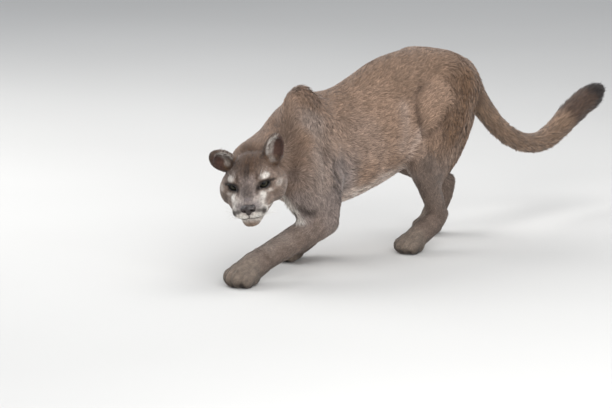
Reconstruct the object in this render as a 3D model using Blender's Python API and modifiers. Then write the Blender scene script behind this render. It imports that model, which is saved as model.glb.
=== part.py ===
"""A life-size cougar, stalking low with one forepaw stretched out and its head turned to its left.

Metres throughout. The animal faces +X, its left side is +Y, and the floor is Z = 0. Joints are worked out
from bone lengths and joint angles. Flesh is laid over them as lofts and muscles, fused into one body,
and parted at the joints, so that each part of the animal is a solid of its own.
"""

import math

import bmesh
import bpy
import numpy as np
from mathutils import Matrix, Vector

# Driving dimensions of an adult male, coat included
UPPER_ARM_LENGTH = 0.200
FOREARM_LENGTH = 0.226
FORE_METACARPUS_LENGTH = 0.085
THIGH_LENGTH = 0.256
SHANK_LENGTH = 0.236
HIND_METATARSUS_LENGTH = 0.125
CHEEK_WIDTH = 0.178
EYE_SPACING = 0.076
EYE_RADIUS = 0.0160
FOREPAW_WIDTH = 0.088
HINDPAW_WIDTH = 0.076
SEAM = 0.0003
FINEST = 0.00005

# Where the girdles and the head are carried
FORE_SHOULDER = Vector((0.335, 0.090, 0.323))
REAR_SHOULDER = Vector((0.262, 0.095, 0.302))
FORE_HIP = Vector((-0.300, 0.075, 0.430))
REAR_HIP = Vector((-0.362, 0.072, 0.462))
TAIL_ROOT = Vector((-0.425, 0.000, 0.462))
HEAD_PLACE = Vector((0.511, 0.091, 0.262))
HEAD_YAW = math.radians(38)
HEAD_PITCH = math.radians(12)
HEAD_ROLL = math.radians(7.5)

LEFT = 1
RIGHT = -1


def bone(start, length, swing, splay, side):
    """The far end of a bone: swing is degrees forward of straight down, splay degrees out from the middle."""
    swing, splay = math.radians(swing), math.radians(splay)
    along = Vector(
        (math.sin(swing) * math.cos(splay), side * math.sin(splay), -math.cos(swing) * math.cos(splay))
    )
    return start + length * along


def ball_of_foot(ankle, length, height):
    """Where a foot bone of this length meets the ball of the foot, which stands at this height."""
    drop = ankle.z - height
    return ankle + Vector((math.sqrt(length**2 - drop**2), 0, -drop))


def on_side(place, side):
    return Vector((place.x, side * place.y, place.z))


FORE_BALL_HEIGHT = 0.033
HIND_BALL_HEIGHT = 0.026


def foreleg_joints(side, shoulder, arm_swing, arm_splay, forearm_swing, forearm_splay):
    shoulder = on_side(shoulder, side)
    elbow = bone(shoulder, UPPER_ARM_LENGTH, arm_swing, arm_splay, side)
    wrist = bone(elbow, FOREARM_LENGTH, forearm_swing, forearm_splay, side)
    ball = ball_of_foot(wrist, FORE_METACARPUS_LENGTH, FORE_BALL_HEIGHT)
    return shoulder, elbow, wrist, ball


def hindleg_joints(side, hip, thigh_swing, thigh_splay, shank_swing, shank_splay):
    hip = on_side(hip, side)
    knee = bone(hip, THIGH_LENGTH, thigh_swing, thigh_splay, side)
    hock = bone(knee, SHANK_LENGTH, shank_swing, shank_splay, side)
    ball = ball_of_foot(hock, HIND_METATARSUS_LENGTH, HIND_BALL_HEIGHT)
    return hip, knee, hock, ball


# The pose, in degrees: the left legs reach forward, and the right ones are left behind
FORELEGS = {
    LEFT: foreleg_joints(LEFT, FORE_SHOULDER, -25.5, 9, 68.5, -8),
    RIGHT: foreleg_joints(RIGHT, REAR_SHOULDER, -82, 4, 14, -7),
}
HINDLEGS = {
    LEFT: hindleg_joints(LEFT, FORE_HIP, 54, 11, -31, -10),
    RIGHT: hindleg_joints(RIGHT, REAR_HIP, 34, 6, -58, -6),
}
SCAPULA_TOPS = {
    LEFT: Vector((0.262, 0.044, 0.476)),
    RIGHT: Vector((0.165, -0.050, 0.432)),
}

HEAD_FRAME = (
    Matrix.Translation(HEAD_PLACE)
    @ Matrix.Rotation(HEAD_YAW, 4, "Z")
    @ Matrix.Rotation(HEAD_PITCH, 4, "Y")
    @ Matrix.Rotation(HEAD_ROLL, 4, "X")
)


def in_head(forward, left, up):
    """A place named from between the eyes, in the head's own directions."""
    return HEAD_FRAME @ Vector((forward, left, up))


def eased(rows, steps):
    """Rows of numbers filled in along a smooth curve through them, this many steps from row to row."""
    rows = np.array(rows, float)
    ends = np.vstack([2 * rows[0] - rows[1], rows, 2 * rows[-1] - rows[-2]])
    filled = []
    for a, b, c, d in zip(ends, ends[1:], ends[2:], ends[3:]):
        for t in np.linspace(0, 1, steps, endpoint=False):
            bend = (2 * a - 5 * b + 4 * c - d) * t**2 + (3 * b - a - 3 * c + d) * t**3
            filled.append(b + 0.5 * ((c - a) * t + bend))
    return [row.tolist() for row in filled] + [rows[-1].tolist()]


def loft(clay, stations, across=Vector((0, 1, 0)), sides=24, steps=4):
    """Adds a closed tube through stations of (x, y, z, half width, half height, egg).

    The half width lies along the across direction. Egg is the share by which the top is narrower.
    """
    rows = eased(stations, steps)
    centres = [Vector(row[:3]) for row in rows]
    rings = []
    for n, row in enumerate(rows):
        along = (centres[min(n + 1, len(rows) - 1)] - centres[max(n - 1, 0)]).normalized()
        wide = (across - across.dot(along) * along).normalized()
        tall = along.cross(wide)
        if tall.z < 0:
            tall = -tall
        ring = []
        for k in range(sides):
            turn = 2 * math.pi * k / sides
            out = row[3] * math.cos(turn) * (1 - row[5] * math.sin(turn))
            ring.append(clay.verts.new(centres[n] + out * wide + row[4] * math.sin(turn) * tall))
        rings.append(ring)
    faces = [clay.faces.new(rings[0]), clay.faces.new(rings[-1])]
    for near, far in zip(rings, rings[1:]):
        for k in range(sides):
            faces.append(clay.faces.new((near[k - 1], near[k], far[k], far[k - 1])))
    bmesh.ops.recalc_face_normals(clay, faces=faces)


def blob(clay, centre, radii, frame=Matrix.Identity(4)):
    """Adds an ellipsoid whose centre and radii are given along the frame's own directions."""
    place = frame @ Matrix.Translation(centre) @ Matrix.Diagonal((*radii, 1))
    bmesh.ops.create_uvsphere(clay, u_segments=24, v_segments=16, radius=1, matrix=place)


def muscle(clay, start, end, wide, thick, flat_to=Vector((0, 1, 0)), over=0.0):
    """Adds an ellipsoid from start to end and over past each, thick along flat_to and wide across it."""
    along = end - start
    length = along.length / 2 + over
    along.normalize()
    thin = (flat_to - flat_to.dot(along) * along).normalized()
    broad = thin.cross(along)
    turn = Matrix((along, thin, broad)).transposed().to_4x4()
    place = Matrix.Translation((start + end) / 2) @ turn @ Matrix.Diagonal((length, thick, wide, 1))
    bmesh.ops.create_uvsphere(clay, u_segments=24, v_segments=16, radius=1, matrix=place)


def mesh_object(name, clay):
    """An object that holds the clay's surfaces."""
    mesh = bpy.data.meshes.new(name)
    clay.to_mesh(mesh)
    clay.free()
    made = bpy.data.objects.new(name, mesh)
    bpy.context.scene.collection.objects.link(made)
    return made


def settle(made):
    """Applies the object's modifiers."""
    bpy.context.view_layer.update()
    posed = made.evaluated_get(bpy.context.evaluated_depsgraph_get())
    settled = bpy.data.meshes.new_from_object(posed)
    made.modifiers.clear()
    made.data = settled
    return made


def fused(made, grain, smoothing):
    """Makes overlapping surfaces one skin of this grain, then eases its creases."""
    remesh = made.modifiers.new("Fuse", "REMESH")
    remesh.mode = "VOXEL"
    remesh.voxel_size = grain
    smooth = made.modifiers.new("Ease", "SMOOTH")
    smooth.factor = 0.5
    smooth.iterations = smoothing
    return settle(made)


def thinned(made, faces, chosen=lambda place: True):
    """Leaves this many faces where a place is chosen, and every face elsewhere."""
    kept = made.vertex_groups.new(name="kept")
    free = {vert.index for vert in made.data.vertices if chosen(vert.co)}
    kept.add([vert.index for vert in made.data.vertices if vert.index not in free], 1.0, "REPLACE")
    polygons = [list(face.vertices) for face in made.data.polygons]
    total = sum(len(corners) - 2 for corners in polygons)
    inside = sum(len(corners) - 2 for corners in polygons if free.issuperset(corners))
    decimate = made.modifiers.new("Fewer", "DECIMATE")
    decimate.ratio = (total - inside + faces) / total
    decimate.vertex_group = "kept"
    decimate.invert_vertex_group = True
    settle(made)
    made.vertex_groups.clear()
    return made


def joined(name, pieces):
    """Several objects' surfaces in one object."""
    clay = bmesh.new()
    for piece in pieces:
        clay.from_mesh(piece.data)
        bpy.data.objects.remove(piece)
    return mesh_object(name, clay)


# Trunk: x, z of the back and of the belly, half width, egg
TRUNK = (
    (0.370, 0.328, 0.272, 0.034, 0.00),
    (0.345, 0.352, 0.234, 0.068, 0.00),
    (0.290, 0.405, 0.174, 0.098, 0.02),
    (0.240, 0.448, 0.146, 0.110, 0.08),
    (0.190, 0.462, 0.146, 0.116, 0.12),
    (0.120, 0.463, 0.152, 0.120, 0.14),
    (0.045, 0.473, 0.168, 0.121, 0.14),
    (-0.048, 0.504, 0.196, 0.120, 0.12),
    (-0.114, 0.531, 0.224, 0.114, 0.08),
    (-0.181, 0.543, 0.262, 0.107, 0.04),
    (-0.249, 0.542, 0.304, 0.102, 0.00),
    (-0.330, 0.525, 0.340, 0.092, 0.00),
    (-0.385, 0.504, 0.370, 0.074, 0.00),
    (-0.415, 0.478, 0.395, 0.050, 0.00),
)


def trunk(clay):
    rows = []
    for x, back, belly, half, egg in TRUNK:
        rows.append((x, 0, (back + belly) / 2, half, (back - belly) / 2, egg))
    loft(clay, rows)


def neck(clay):
    loft(
        clay,
        (
            (0.200, 0.000, 0.335, 0.084, 0.112, 0.10),
            (0.260, 0.000, 0.330, 0.088, 0.112, 0.14),
            (0.305, 0.000, 0.306, 0.086, 0.098, 0.12),
            (0.345, 0.001, 0.295, 0.080, 0.091, 0.08),
            (0.385, 0.007, 0.290, 0.074, 0.084, 0.05),
            (0.425, 0.018, 0.287, 0.070, 0.077, 0.00),
            (0.455, 0.035, 0.284, 0.062, 0.066, 0.00),
        ),
        across=Vector((-0.35, 1, 0)),
    )


def shoulder_mass(clay, side):
    """The shoulder blade and the muscles from it to the elbow."""
    shoulder, elbow, wrist, _ = FORELEGS[side]
    top = SCAPULA_TOPS[side]
    outward = Vector((0, side, 0.45))
    muscle(clay, top + Vector((0, -side * 0.006, -0.004)), shoulder, 0.066, 0.044, outward, over=0.030)
    muscle(clay, top + Vector((-0.050, side * 0.004, -0.035)), shoulder, 0.062, 0.042, outward, over=0.025)
    blob(clay, shoulder + Vector((-0.012, -side * 0.010, 0)), (0.054, 0.045, 0.064))
    muscle(clay, shoulder, elbow, 0.062, 0.046, over=0.035)
    # Triceps, from the blade's rear edge to the point of the elbow
    heel_of_arm = elbow + (elbow - wrist).normalized() * 0.008 + Vector((0, 0, 0.010))
    behind = top.lerp(shoulder, 0.45) + Vector((-0.044, side * 0.016, 0))
    muscle(clay, behind, heel_of_arm, 0.056, 0.040, over=0.024)
    muscle(clay, behind.lerp(heel_of_arm, 0.35), elbow, 0.052, 0.044, over=0.020)
    # The front of the arm, from the point of the shoulder into the crook of the elbow
    crook = elbow.lerp(wrist, 0.32) + Vector((-0.004, 0, 0.036))
    muscle(clay, shoulder + Vector((0.022, -side * 0.010, -0.086)), crook, 0.036, 0.034, over=0.022)


def limb(clay, start, end, girths):
    """A tube from joint to joint, through girths of (share of the way, half width, half depth)."""
    loft(clay, [(*start.lerp(end, share), wide, deep, 0) for share, wide, deep in girths])


FOREARM_GIRTHS = (
    (-0.06, 0.036, 0.036),
    (0.08, 0.040, 0.041),
    (0.30, 0.039, 0.041),
    (0.62, 0.034, 0.038),
    (1.00, 0.032, 0.035),
)


def forearm(clay, side):
    _, elbow, wrist, _ = FORELEGS[side]
    limb(clay, elbow, wrist, FOREARM_GIRTHS)
    point_of_elbow = elbow + (elbow - wrist).normalized() * 0.012 + Vector((0, 0, 0.005))
    blob(clay, point_of_elbow, (0.024, 0.025, 0.024))
    blob(clay, wrist, (0.036, 0.034, 0.036))


def thigh_mass(clay, side):
    """The hip, the thigh and the muscles that run from them to below the knee."""
    hip, knee, hock, _ = HINDLEGS[side]
    seat = Vector((-0.364, side * 0.062, 0.422))
    crest = Vector((-0.205, side * 0.064, 0.484))
    muscle(clay, crest, seat, 0.080, 0.056, Vector((0, side, 0.5)), over=0.030)
    muscle(clay, hip + Vector((0.02, 0, 0.02)), knee, 0.088, 0.056, over=0.034)
    muscle(clay, hip + Vector((-0.01, side * 0.004, -0.02)), knee.lerp(hock, 0.25), 0.088, 0.054, over=0.036)
    muscle(clay, seat, knee.lerp(hock, 0.45) + Vector((-0.012, 0, 0)), 0.060, 0.044, over=0.030)
    # The fold of skin from the flank to the knee
    muscle(clay, Vector((-0.120, side * 0.100, 0.350)), knee, 0.052, 0.036, over=0.020)
    blob(clay, knee, (0.048, 0.042, 0.050))


SHANK_GIRTHS = (
    (-0.05, 0.038, 0.042),
    (0.12, 0.041, 0.050),
    (0.35, 0.036, 0.044),
    (0.68, 0.026, 0.032),
    (1.00, 0.024, 0.028),
)
HIND_METATARSUS_GIRTHS = (
    (0.0, 0.024, 0.027),
    (0.5, 0.024, 0.024),
    (1.0, 0.028, 0.025),
)


def shank(clay, side):
    _, knee, hock, ball = HINDLEGS[side]
    limb(clay, knee, hock, SHANK_GIRTHS)
    # Heel, and the cord that runs up from it into the calf
    heel = hock + (hock - ball).normalized() * 0.020
    blob(clay, hock, (0.028, 0.024, 0.029))
    blob(clay, heel, (0.021, 0.020, 0.021))
    muscle(clay, knee.lerp(hock, 0.45) + Vector((-0.024, 0, 0)), heel, 0.020, 0.015, over=0.010)
    limb(clay, hock, ball, HIND_METATARSUS_GIRTHS)


# Toes: place across, in shares of the paw's half width, reach ahead of the ball, half width
TOES = (
    (-0.70, 0.010, 0.0150),
    (-0.25, 0.024, 0.0155),
    (0.25, 0.024, 0.0155),
    (0.70, 0.010, 0.0150),
)
TOE_SPREAD = math.radians(14)


def paw(clay, ankle, ball, width):
    """A paw on the floor: four toes ahead of the ball, the pad under it, and the knuckles over it."""
    size = width / FOREPAW_WIDTH
    across = width / 2
    frame = Matrix.Translation((ball.x, ball.y, 0))
    for place, reach, half in TOES:
        turn = Matrix.Rotation(place * TOE_SPREAD, 4, "Z")
        toe = frame @ Matrix.Translation((reach * size, place * across, 0.0235 * size)) @ turn
        blob(clay, (0, 0, 0), (0.026 * size, half * size, 0.0255 * size), toe)
        blob(clay, (-0.020 * size, 0, 0.014 * size), (0.026 * size, half * size, 0.021 * size), toe)
    blob(clay, (-0.018 * size, 0, 0.020 * size), (0.034 * size, across * 0.82, 0.023 * size), frame)
    blob(clay, (-0.024 * size, 0, 0.048 * size), (0.036 * size, across * 0.68, 0.025 * size), frame)
    girths = (
        (0.0, across * 0.70, 0.035 * size),
        (0.5, across * 0.76, 0.038 * size),
        (1.0, across * 0.80, 0.031 * size),
    )
    limb(clay, ankle, ball, girths)


# Tail: how far along, drop or rise of the centre below the root, half thickness
TAIL_SWERVE = math.radians(10)
TAIL_PATH = (
    (-0.060, 0.018, 0.028),
    (-0.035, -0.002, 0.036),
    (-0.010, -0.032, 0.039),
    (0.020, -0.066, 0.036),
    (0.055, -0.103, 0.033),
    (0.100, -0.143, 0.031),
    (0.160, -0.190, 0.030),
    (0.250, -0.236, 0.030),
    (0.340, -0.257, 0.031),
    (0.410, -0.253, 0.033),
    (0.470, -0.233, 0.035),
    (0.520, -0.210, 0.037),
    (0.580, -0.186, 0.038),
    (0.640, -0.168, 0.037),
    (0.672, -0.158, 0.028),
)


def tail_point(along, rise):
    swerve = Vector((-along * math.cos(TAIL_SWERVE), -along * math.sin(TAIL_SWERVE), rise))
    return TAIL_ROOT + swerve


def along_tail(place):
    """The tail's path at this distance along: distance, rise and half thickness."""
    rows = np.array(TAIL_PATH)
    return [place, *(float(np.interp(place, rows[:, 0], rows[:, k])) for k in (1, 2))]


def tail(clay):
    loft(clay, [(*tail_point(along, rise), half, half, 0) for along, rise, half in TAIL_PATH])
    along, rise, half = TAIL_PATH[-1]
    blob(clay, tail_point(along + 0.004, rise + 0.002), (half, half, half))


# Head, from between the eyes: forward, top, bottom, half width, egg
FACE = (
    (0.086, -0.022, -0.056, 0.029, 0.20),
    (0.075, -0.017, -0.063, 0.039, 0.25),
    (0.055, -0.008, -0.070, 0.0445, 0.30),
    (0.032, 0.001, -0.077, 0.046, 0.30),
    (0.008, 0.012, -0.080, 0.052, 0.20),
    (-0.020, 0.030, -0.080, 0.067, 0.05),
    (-0.050, 0.052, -0.078, 0.076, 0.00),
    (-0.082, 0.060, -0.078, 0.073, 0.00),
    (-0.112, 0.056, -0.074, 0.062, 0.00),
    (-0.130, 0.034, -0.056, 0.038, 0.00),
)
# The ridge of the nose and the lower jaw: forward, up, half width, half height
BRIDGE = (
    (-0.012, 0.000, 0.0240, 0.020),
    (0.024, -0.013, 0.0220, 0.020),
    (0.057, -0.026, 0.0210, 0.019),
    (0.083, -0.036, 0.0195, 0.015),
)
JAW = (
    (0.074, -0.072, 0.018, 0.011),
    (0.060, -0.073, 0.025, 0.015),
    (0.028, -0.070, 0.032, 0.016),
    (-0.020, -0.063, 0.036, 0.020),
    (-0.060, -0.058, 0.040, 0.024),
)


def head(clay):
    across = HEAD_FRAME.to_3x3() @ Vector((0, 1, 0))
    rows = []
    for forward, top, bottom, half, egg in FACE:
        rows.append((*in_head(forward, 0, (top + bottom) / 2), half, (top - bottom) / 2, egg))
    loft(clay, rows, across)
    for ridge in (BRIDGE, JAW):
        loft(clay, [(*in_head(forward, 0, up), half, tall, 0) for forward, up, half, tall in ridge], across)
    # Brain case, forehead, the end of the nose and the chin
    blob(clay, (-0.070, 0, 0.000), (0.080, 0.067, 0.064), HEAD_FRAME)
    blob(clay, (-0.026, 0, 0.012), (0.046, 0.048, 0.036), HEAD_FRAME)
    blob(clay, (0.078, 0, -0.035), (0.014, 0.020, 0.014), HEAD_FRAME)
    blob(clay, (0.060, 0, -0.075), (0.021, 0.024, 0.0135), HEAD_FRAME)
    for side in (LEFT, RIGHT):
        # Brow over the eye, cheek bone under it, the muscle of the jaw and the ruff behind
        blob(clay, (-0.015, side * 0.032, 0.0175), (0.026, 0.026, 0.0115), HEAD_FRAME)
        blob(clay, (-0.018, side * 0.049, -0.023), (0.033, 0.022, 0.019), HEAD_FRAME)
        blob(clay, (-0.046, side * (CHEEK_WIDTH / 2 - 0.036), -0.022), (0.054, 0.036, 0.041), HEAD_FRAME)
        blob(clay, (-0.070, side * (CHEEK_WIDTH / 2 - 0.039), -0.022), (0.038, 0.039, 0.043), HEAD_FRAME)
        blob(clay, (0.004, side * 0.040, -0.036), (0.038, 0.020, 0.024), HEAD_FRAME)
        # Side of the muzzle and the whisker pad
        blob(clay, (0.033, side * 0.024, -0.035), (0.046, 0.023, 0.027), HEAD_FRAME)
        blob(clay, (0.058, side * 0.0235, -0.0435), (0.029, 0.0235, 0.0195), HEAD_FRAME)


EYE_BACK = 0.012
EYE_TURN = math.radians(16)
LID_THICKNESS = 0.0032


def eye_frame(side):
    """At the eye's centre, with +X the way it looks and +Y to the animal's left."""
    turn = Matrix.Rotation(side * EYE_TURN, 4, "Z")
    return HEAD_FRAME @ Matrix.Translation((-EYE_BACK, side * EYE_SPACING / 2, 0)) @ turn


def sphere(name, radius, frame):
    clay = bmesh.new()
    bmesh.ops.create_uvsphere(clay, u_segments=18, v_segments=12, radius=radius, matrix=frame)
    return mesh_object(name, clay)


# Outline of the opening between the lids: toward the outer corner, up
LID_OPENING = (
    (-0.0140, -0.0052),
    (-0.0105, 0.0008),
    (-0.0050, 0.0058),
    (0.0020, 0.0078),
    (0.0085, 0.0068),
    (0.0150, 0.0032),
    (0.0110, -0.0025),
    (0.0050, -0.0062),
    (-0.0020, -0.0078),
    (-0.0090, -0.0078),
)


def lid_opening(side):
    """A prism along the gaze, in the shape of the opening between the lids."""
    frame = eye_frame(side)
    clay = bmesh.new()
    near = [clay.verts.new(frame @ Vector((0.002, side * out, up))) for out, up in LID_OPENING]
    wider = [(1.25 * out, 1.25 * up) for out, up in LID_OPENING]
    far = [clay.verts.new(frame @ Vector((0.035, side * out, up))) for out, up in wider]
    clay.faces.new(near)
    clay.faces.new(far)
    for k in range(len(near)):
        clay.faces.new((near[k - 1], near[k], far[k], far[k - 1]))
    bmesh.ops.recalc_face_normals(clay, faces=clay.faces)
    return mesh_object("opening", clay)


def nose_pad():
    """The bare end of the nose: broad above, narrow below."""
    clay = bmesh.new()
    for centre, radii in (
        ((0.0800, 0.0000, -0.0315), (0.0140, 0.0150, 0.0115)),
        ((0.0780, 0.0105, -0.0325), (0.0130, 0.0100, 0.0100)),
        ((0.0780, -0.0105, -0.0325), (0.0130, 0.0100, 0.0100)),
        ((0.0785, 0.0000, -0.0410), (0.0125, 0.0085, 0.0090)),
    ):
        blob(clay, centre, radii, HEAD_FRAME)
    return thinned(fused(mesh_object("nose", clay), 0.0014, 3), 260)


def nostril(side):
    """A cutter: a round hollow with a slit that runs out and up from it."""
    clay = bmesh.new()
    turn = Matrix.Rotation(-side * math.radians(20), 4, "X")
    blob(clay, (0.0910, side * 0.0085, -0.0345), (0.0060, 0.0040, 0.0032), HEAD_FRAME)
    slit = HEAD_FRAME @ Matrix.Translation((0.0880, side * 0.0150, -0.0355)) @ turn
    blob(clay, (0, 0, 0), (0.0060, 0.0065, 0.0014), slit)
    return thinned(fused(mesh_object("nostril", clay), 0.0008, 1), 60)


# The mouth line, from the middle out to the corner: forward, out, up
MOUTH = (
    (0.0880, 0.0000, -0.0530),
    (0.0870, 0.0000, -0.0595),
    (0.0820, 0.0120, -0.0625),
    (0.0710, 0.0280, -0.0630),
    (0.0540, 0.0400, -0.0645),
    (0.0360, 0.0455, -0.0660),
    (0.0200, 0.0495, -0.0670),
)


def mouth_line(side, skull):
    """A thin cutter that follows the skull's surface between the lips."""
    reach = HEAD_FRAME.to_3x3()
    clay = bmesh.new()
    stations = []
    for forward, out, up in eased(MOUTH, 4):
        away = reach @ Vector((0.35, side * 0.9, 0) if out > 0.02 else (1, side * 0.15, 0))
        start = in_head(forward, side * out, up) + 0.03 * away
        found, place, _, _ = skull.ray_cast(start, -away.normalized())
        stations.append((*(place if found else in_head(forward, side * out, up)), 0.0020, 0.0020, 0))
    loft(clay, stations, across=reach @ Vector((0.3, 0.3 * side, 1)), sides=8, steps=1)
    return mesh_object("mouth", clay)


# Ears: place of the base, the way the tip points, the way the hollow faces, in the head's directions
EARS = {
    LEFT: ((-0.070, 0.054, 0.036), (-0.22, 0.34, 0.92), (0.86, 0.42, 0.10)),
    RIGHT: ((-0.070, -0.057, 0.038), (0.55, -0.45, 0.64), (0.74, 0.36, -0.22)),
}
EAR_HEIGHT = 0.074
EAR_WIDTH = 0.056


def ear_frame(side):
    base, tip, facing = (Vector(way) for way in EARS[side])
    tip.normalize()
    facing = (facing - facing.dot(tip) * tip).normalized()
    turn = Matrix((facing, tip.cross(facing), tip)).transposed().to_4x4()
    return HEAD_FRAME @ Matrix.Translation(base) @ turn


# From the ear's base to its tip, in shares of its height and width, and half thickness
EAR_SHAPE = (
    (-0.25, 0.34, 0.016),
    (0.00, 0.45, 0.019),
    (0.28, 0.50, 0.019),
    (0.52, 0.48, 0.016),
    (0.73, 0.40, 0.013),
    (0.89, 0.27, 0.010),
    (0.98, 0.13, 0.006),
)


def ear(side):
    """A rounded cup, and the cutter for the hollow that goes down into its base."""
    frame = ear_frame(side)
    clay = bmesh.new()
    rows = []
    for height, width, thick in EAR_SHAPE:
        middle = frame @ Vector((-0.002, 0, height * EAR_HEIGHT))
        rows.append((*middle, width * EAR_WIDTH, thick, 0))
    loft(clay, rows, across=frame.to_3x3() @ Vector((0, 1, 0)))
    cup = thinned(fused(mesh_object("ear", clay), 0.0022, 4), 300)
    clay = bmesh.new()
    blob(clay, (0.0140, 0, 0.46 * EAR_HEIGHT), (0.0245, 0.405 * EAR_WIDTH, 0.43 * EAR_HEIGHT), frame)
    return cup, thinned(mesh_object("hollow", clay), 240)


def combine(body, cutter, operation):
    """A boolean of two objects. The cutter is used up."""
    boolean = body.modifiers.new("Cut", "BOOLEAN")
    boolean.operation = operation
    boolean.solver = "EXACT"
    boolean.object = cutter
    settle(body)
    bpy.data.objects.remove(cutter)
    return body


def swollen(made, by):
    """A copy that stands off the original by this much all over, to cut the hollow that it sits in."""
    other = copied(made, "swollen")
    normals = [vert.normal.copy() for vert in other.data.vertices]
    for vert, normal in zip(other.data.vertices, normals):
        vert.co += by * normal
    return other


def copied(made, name):
    other = made.copy()
    other.data = made.data.copy()
    other.name = name
    bpy.context.scene.collection.objects.link(other)
    return other


def largest(made):
    """Drops any crumbs that a cut has left, and melts faces too thin to matter."""
    clay = bmesh.new()
    clay.from_mesh(made.data)
    bmesh.ops.remove_doubles(clay, verts=clay.verts, dist=FINEST)
    bmesh.ops.dissolve_degenerate(clay, dist=FINEST, edges=clay.edges)
    clay.verts.ensure_lookup_table()
    seen, best = set(), []
    for seed in clay.verts:
        if seed in seen:
            continue
        island, queue = [], [seed]
        seen.add(seed)
        while queue:
            vert = queue.pop()
            island.append(vert)
            beside = {edge.other_vert(vert) for edge in vert.link_edges} - seen
            seen |= beside
            queue.extend(beside)
        if len(island) > len(best):
            best = island
    best = set(best)
    bmesh.ops.delete(clay, geom=[vert for vert in clay.verts if vert not in best], context="VERTS")
    bmesh.ops.triangulate(clay, faces=clay.faces)
    clay.to_mesh(made.data)
    clay.free()
    return made


ACROSS = Vector((0, 1, 0))


def box(origin, along, reach, half_wide, half_tall, across, grow):
    """A box that starts at a plane through the origin and runs along a direction, grown on every side."""
    along = along.normalized()
    wide = (across - across.dot(along) * along).normalized()
    turn = Matrix((along, wide, along.cross(wide))).transposed().to_4x4()
    clay = bmesh.new()
    size = Matrix.Diagonal((reach + 2 * grow, 2 * (half_wide + grow), 2 * (half_tall + grow), 1))
    middle = Matrix.Translation(origin + along * reach / 2)
    bmesh.ops.create_cube(clay, size=1, matrix=middle @ turn @ size)
    return mesh_object("cell", clay)


def region(boxes, grow):
    """One closed solid from several boxes."""
    whole = box(*boxes[0], grow)
    for further in boxes[1:]:
        combine(whole, box(*further, grow), "UNION")
    return whole


def cut_off(body, name, *boxes):
    """Parts the body at the boxes' near sides: what lies inside them becomes a solid of its own."""
    part = combine(copied(body, name), region(boxes, 0), "INTERSECT")
    combine(body, region(boxes, SEAM), "DIFFERENCE")
    return largest(part)


# Colours by the name's beginning, as red, green and blue from 0 to 255, with roughness
COLOURS = {
    "head": ((132, 114, 104), 0.80),
    "nose": ((58, 49, 46), 0.45),
    "ear": ((90, 74, 66), 0.80),
    "eye": ((60, 58, 46), 0.08),
    "neck": ((130, 99, 78), 0.82),
    "torso": ((143, 118, 101), 0.82),
    "foreleg": ((133, 115, 105), 0.82),
    "forepaw": ((134, 118, 107), 0.82),
    "hindleg": ((134, 106, 84), 0.82),
    "hindpaw": ((120, 101, 88), 0.82),
    "tail_tip": ((86, 70, 61), 0.84),
    "tail": ((126, 100, 81), 0.84),
}


def colour(made):
    """Gives the object a plain material of its own in its part's colour."""
    shade, roughness = next(value for start, value in COLOURS.items() if made.name.startswith(start))
    material = bpy.data.materials.new(made.name)
    material.use_nodes = True
    surface = material.node_tree.nodes["Principled BSDF"]
    surface.inputs["Base Color"].default_value = (*((channel / 255) ** 2.2 for channel in shade), 1)
    surface.inputs["Roughness"].default_value = roughness
    surface.inputs["Metallic"].default_value = 0
    made.data.materials.clear()
    made.data.materials.append(material)


def finish(parts):
    """Stands the animal with the middle of its footprint at the origin, and colours its parts."""
    places = np.array([vert.co for part in parts for vert in part.data.vertices])
    low, high = places.min(axis=0), places.max(axis=0)
    middle = (low + high) / 2
    shift = Matrix.Translation((-middle[0], -middle[1], -low[2]))
    cougar = bpy.data.collections.new("cougar")
    bpy.context.scene.collection.children.link(cougar)
    for part in parts:
        part.data.transform(shift)
        part.data.shade_smooth()
        part.data.set_sharp_from_angle(angle=math.radians(50))
        bpy.context.scene.collection.objects.unlink(part)
        cougar.objects.link(part)
        colour(part)


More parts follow.
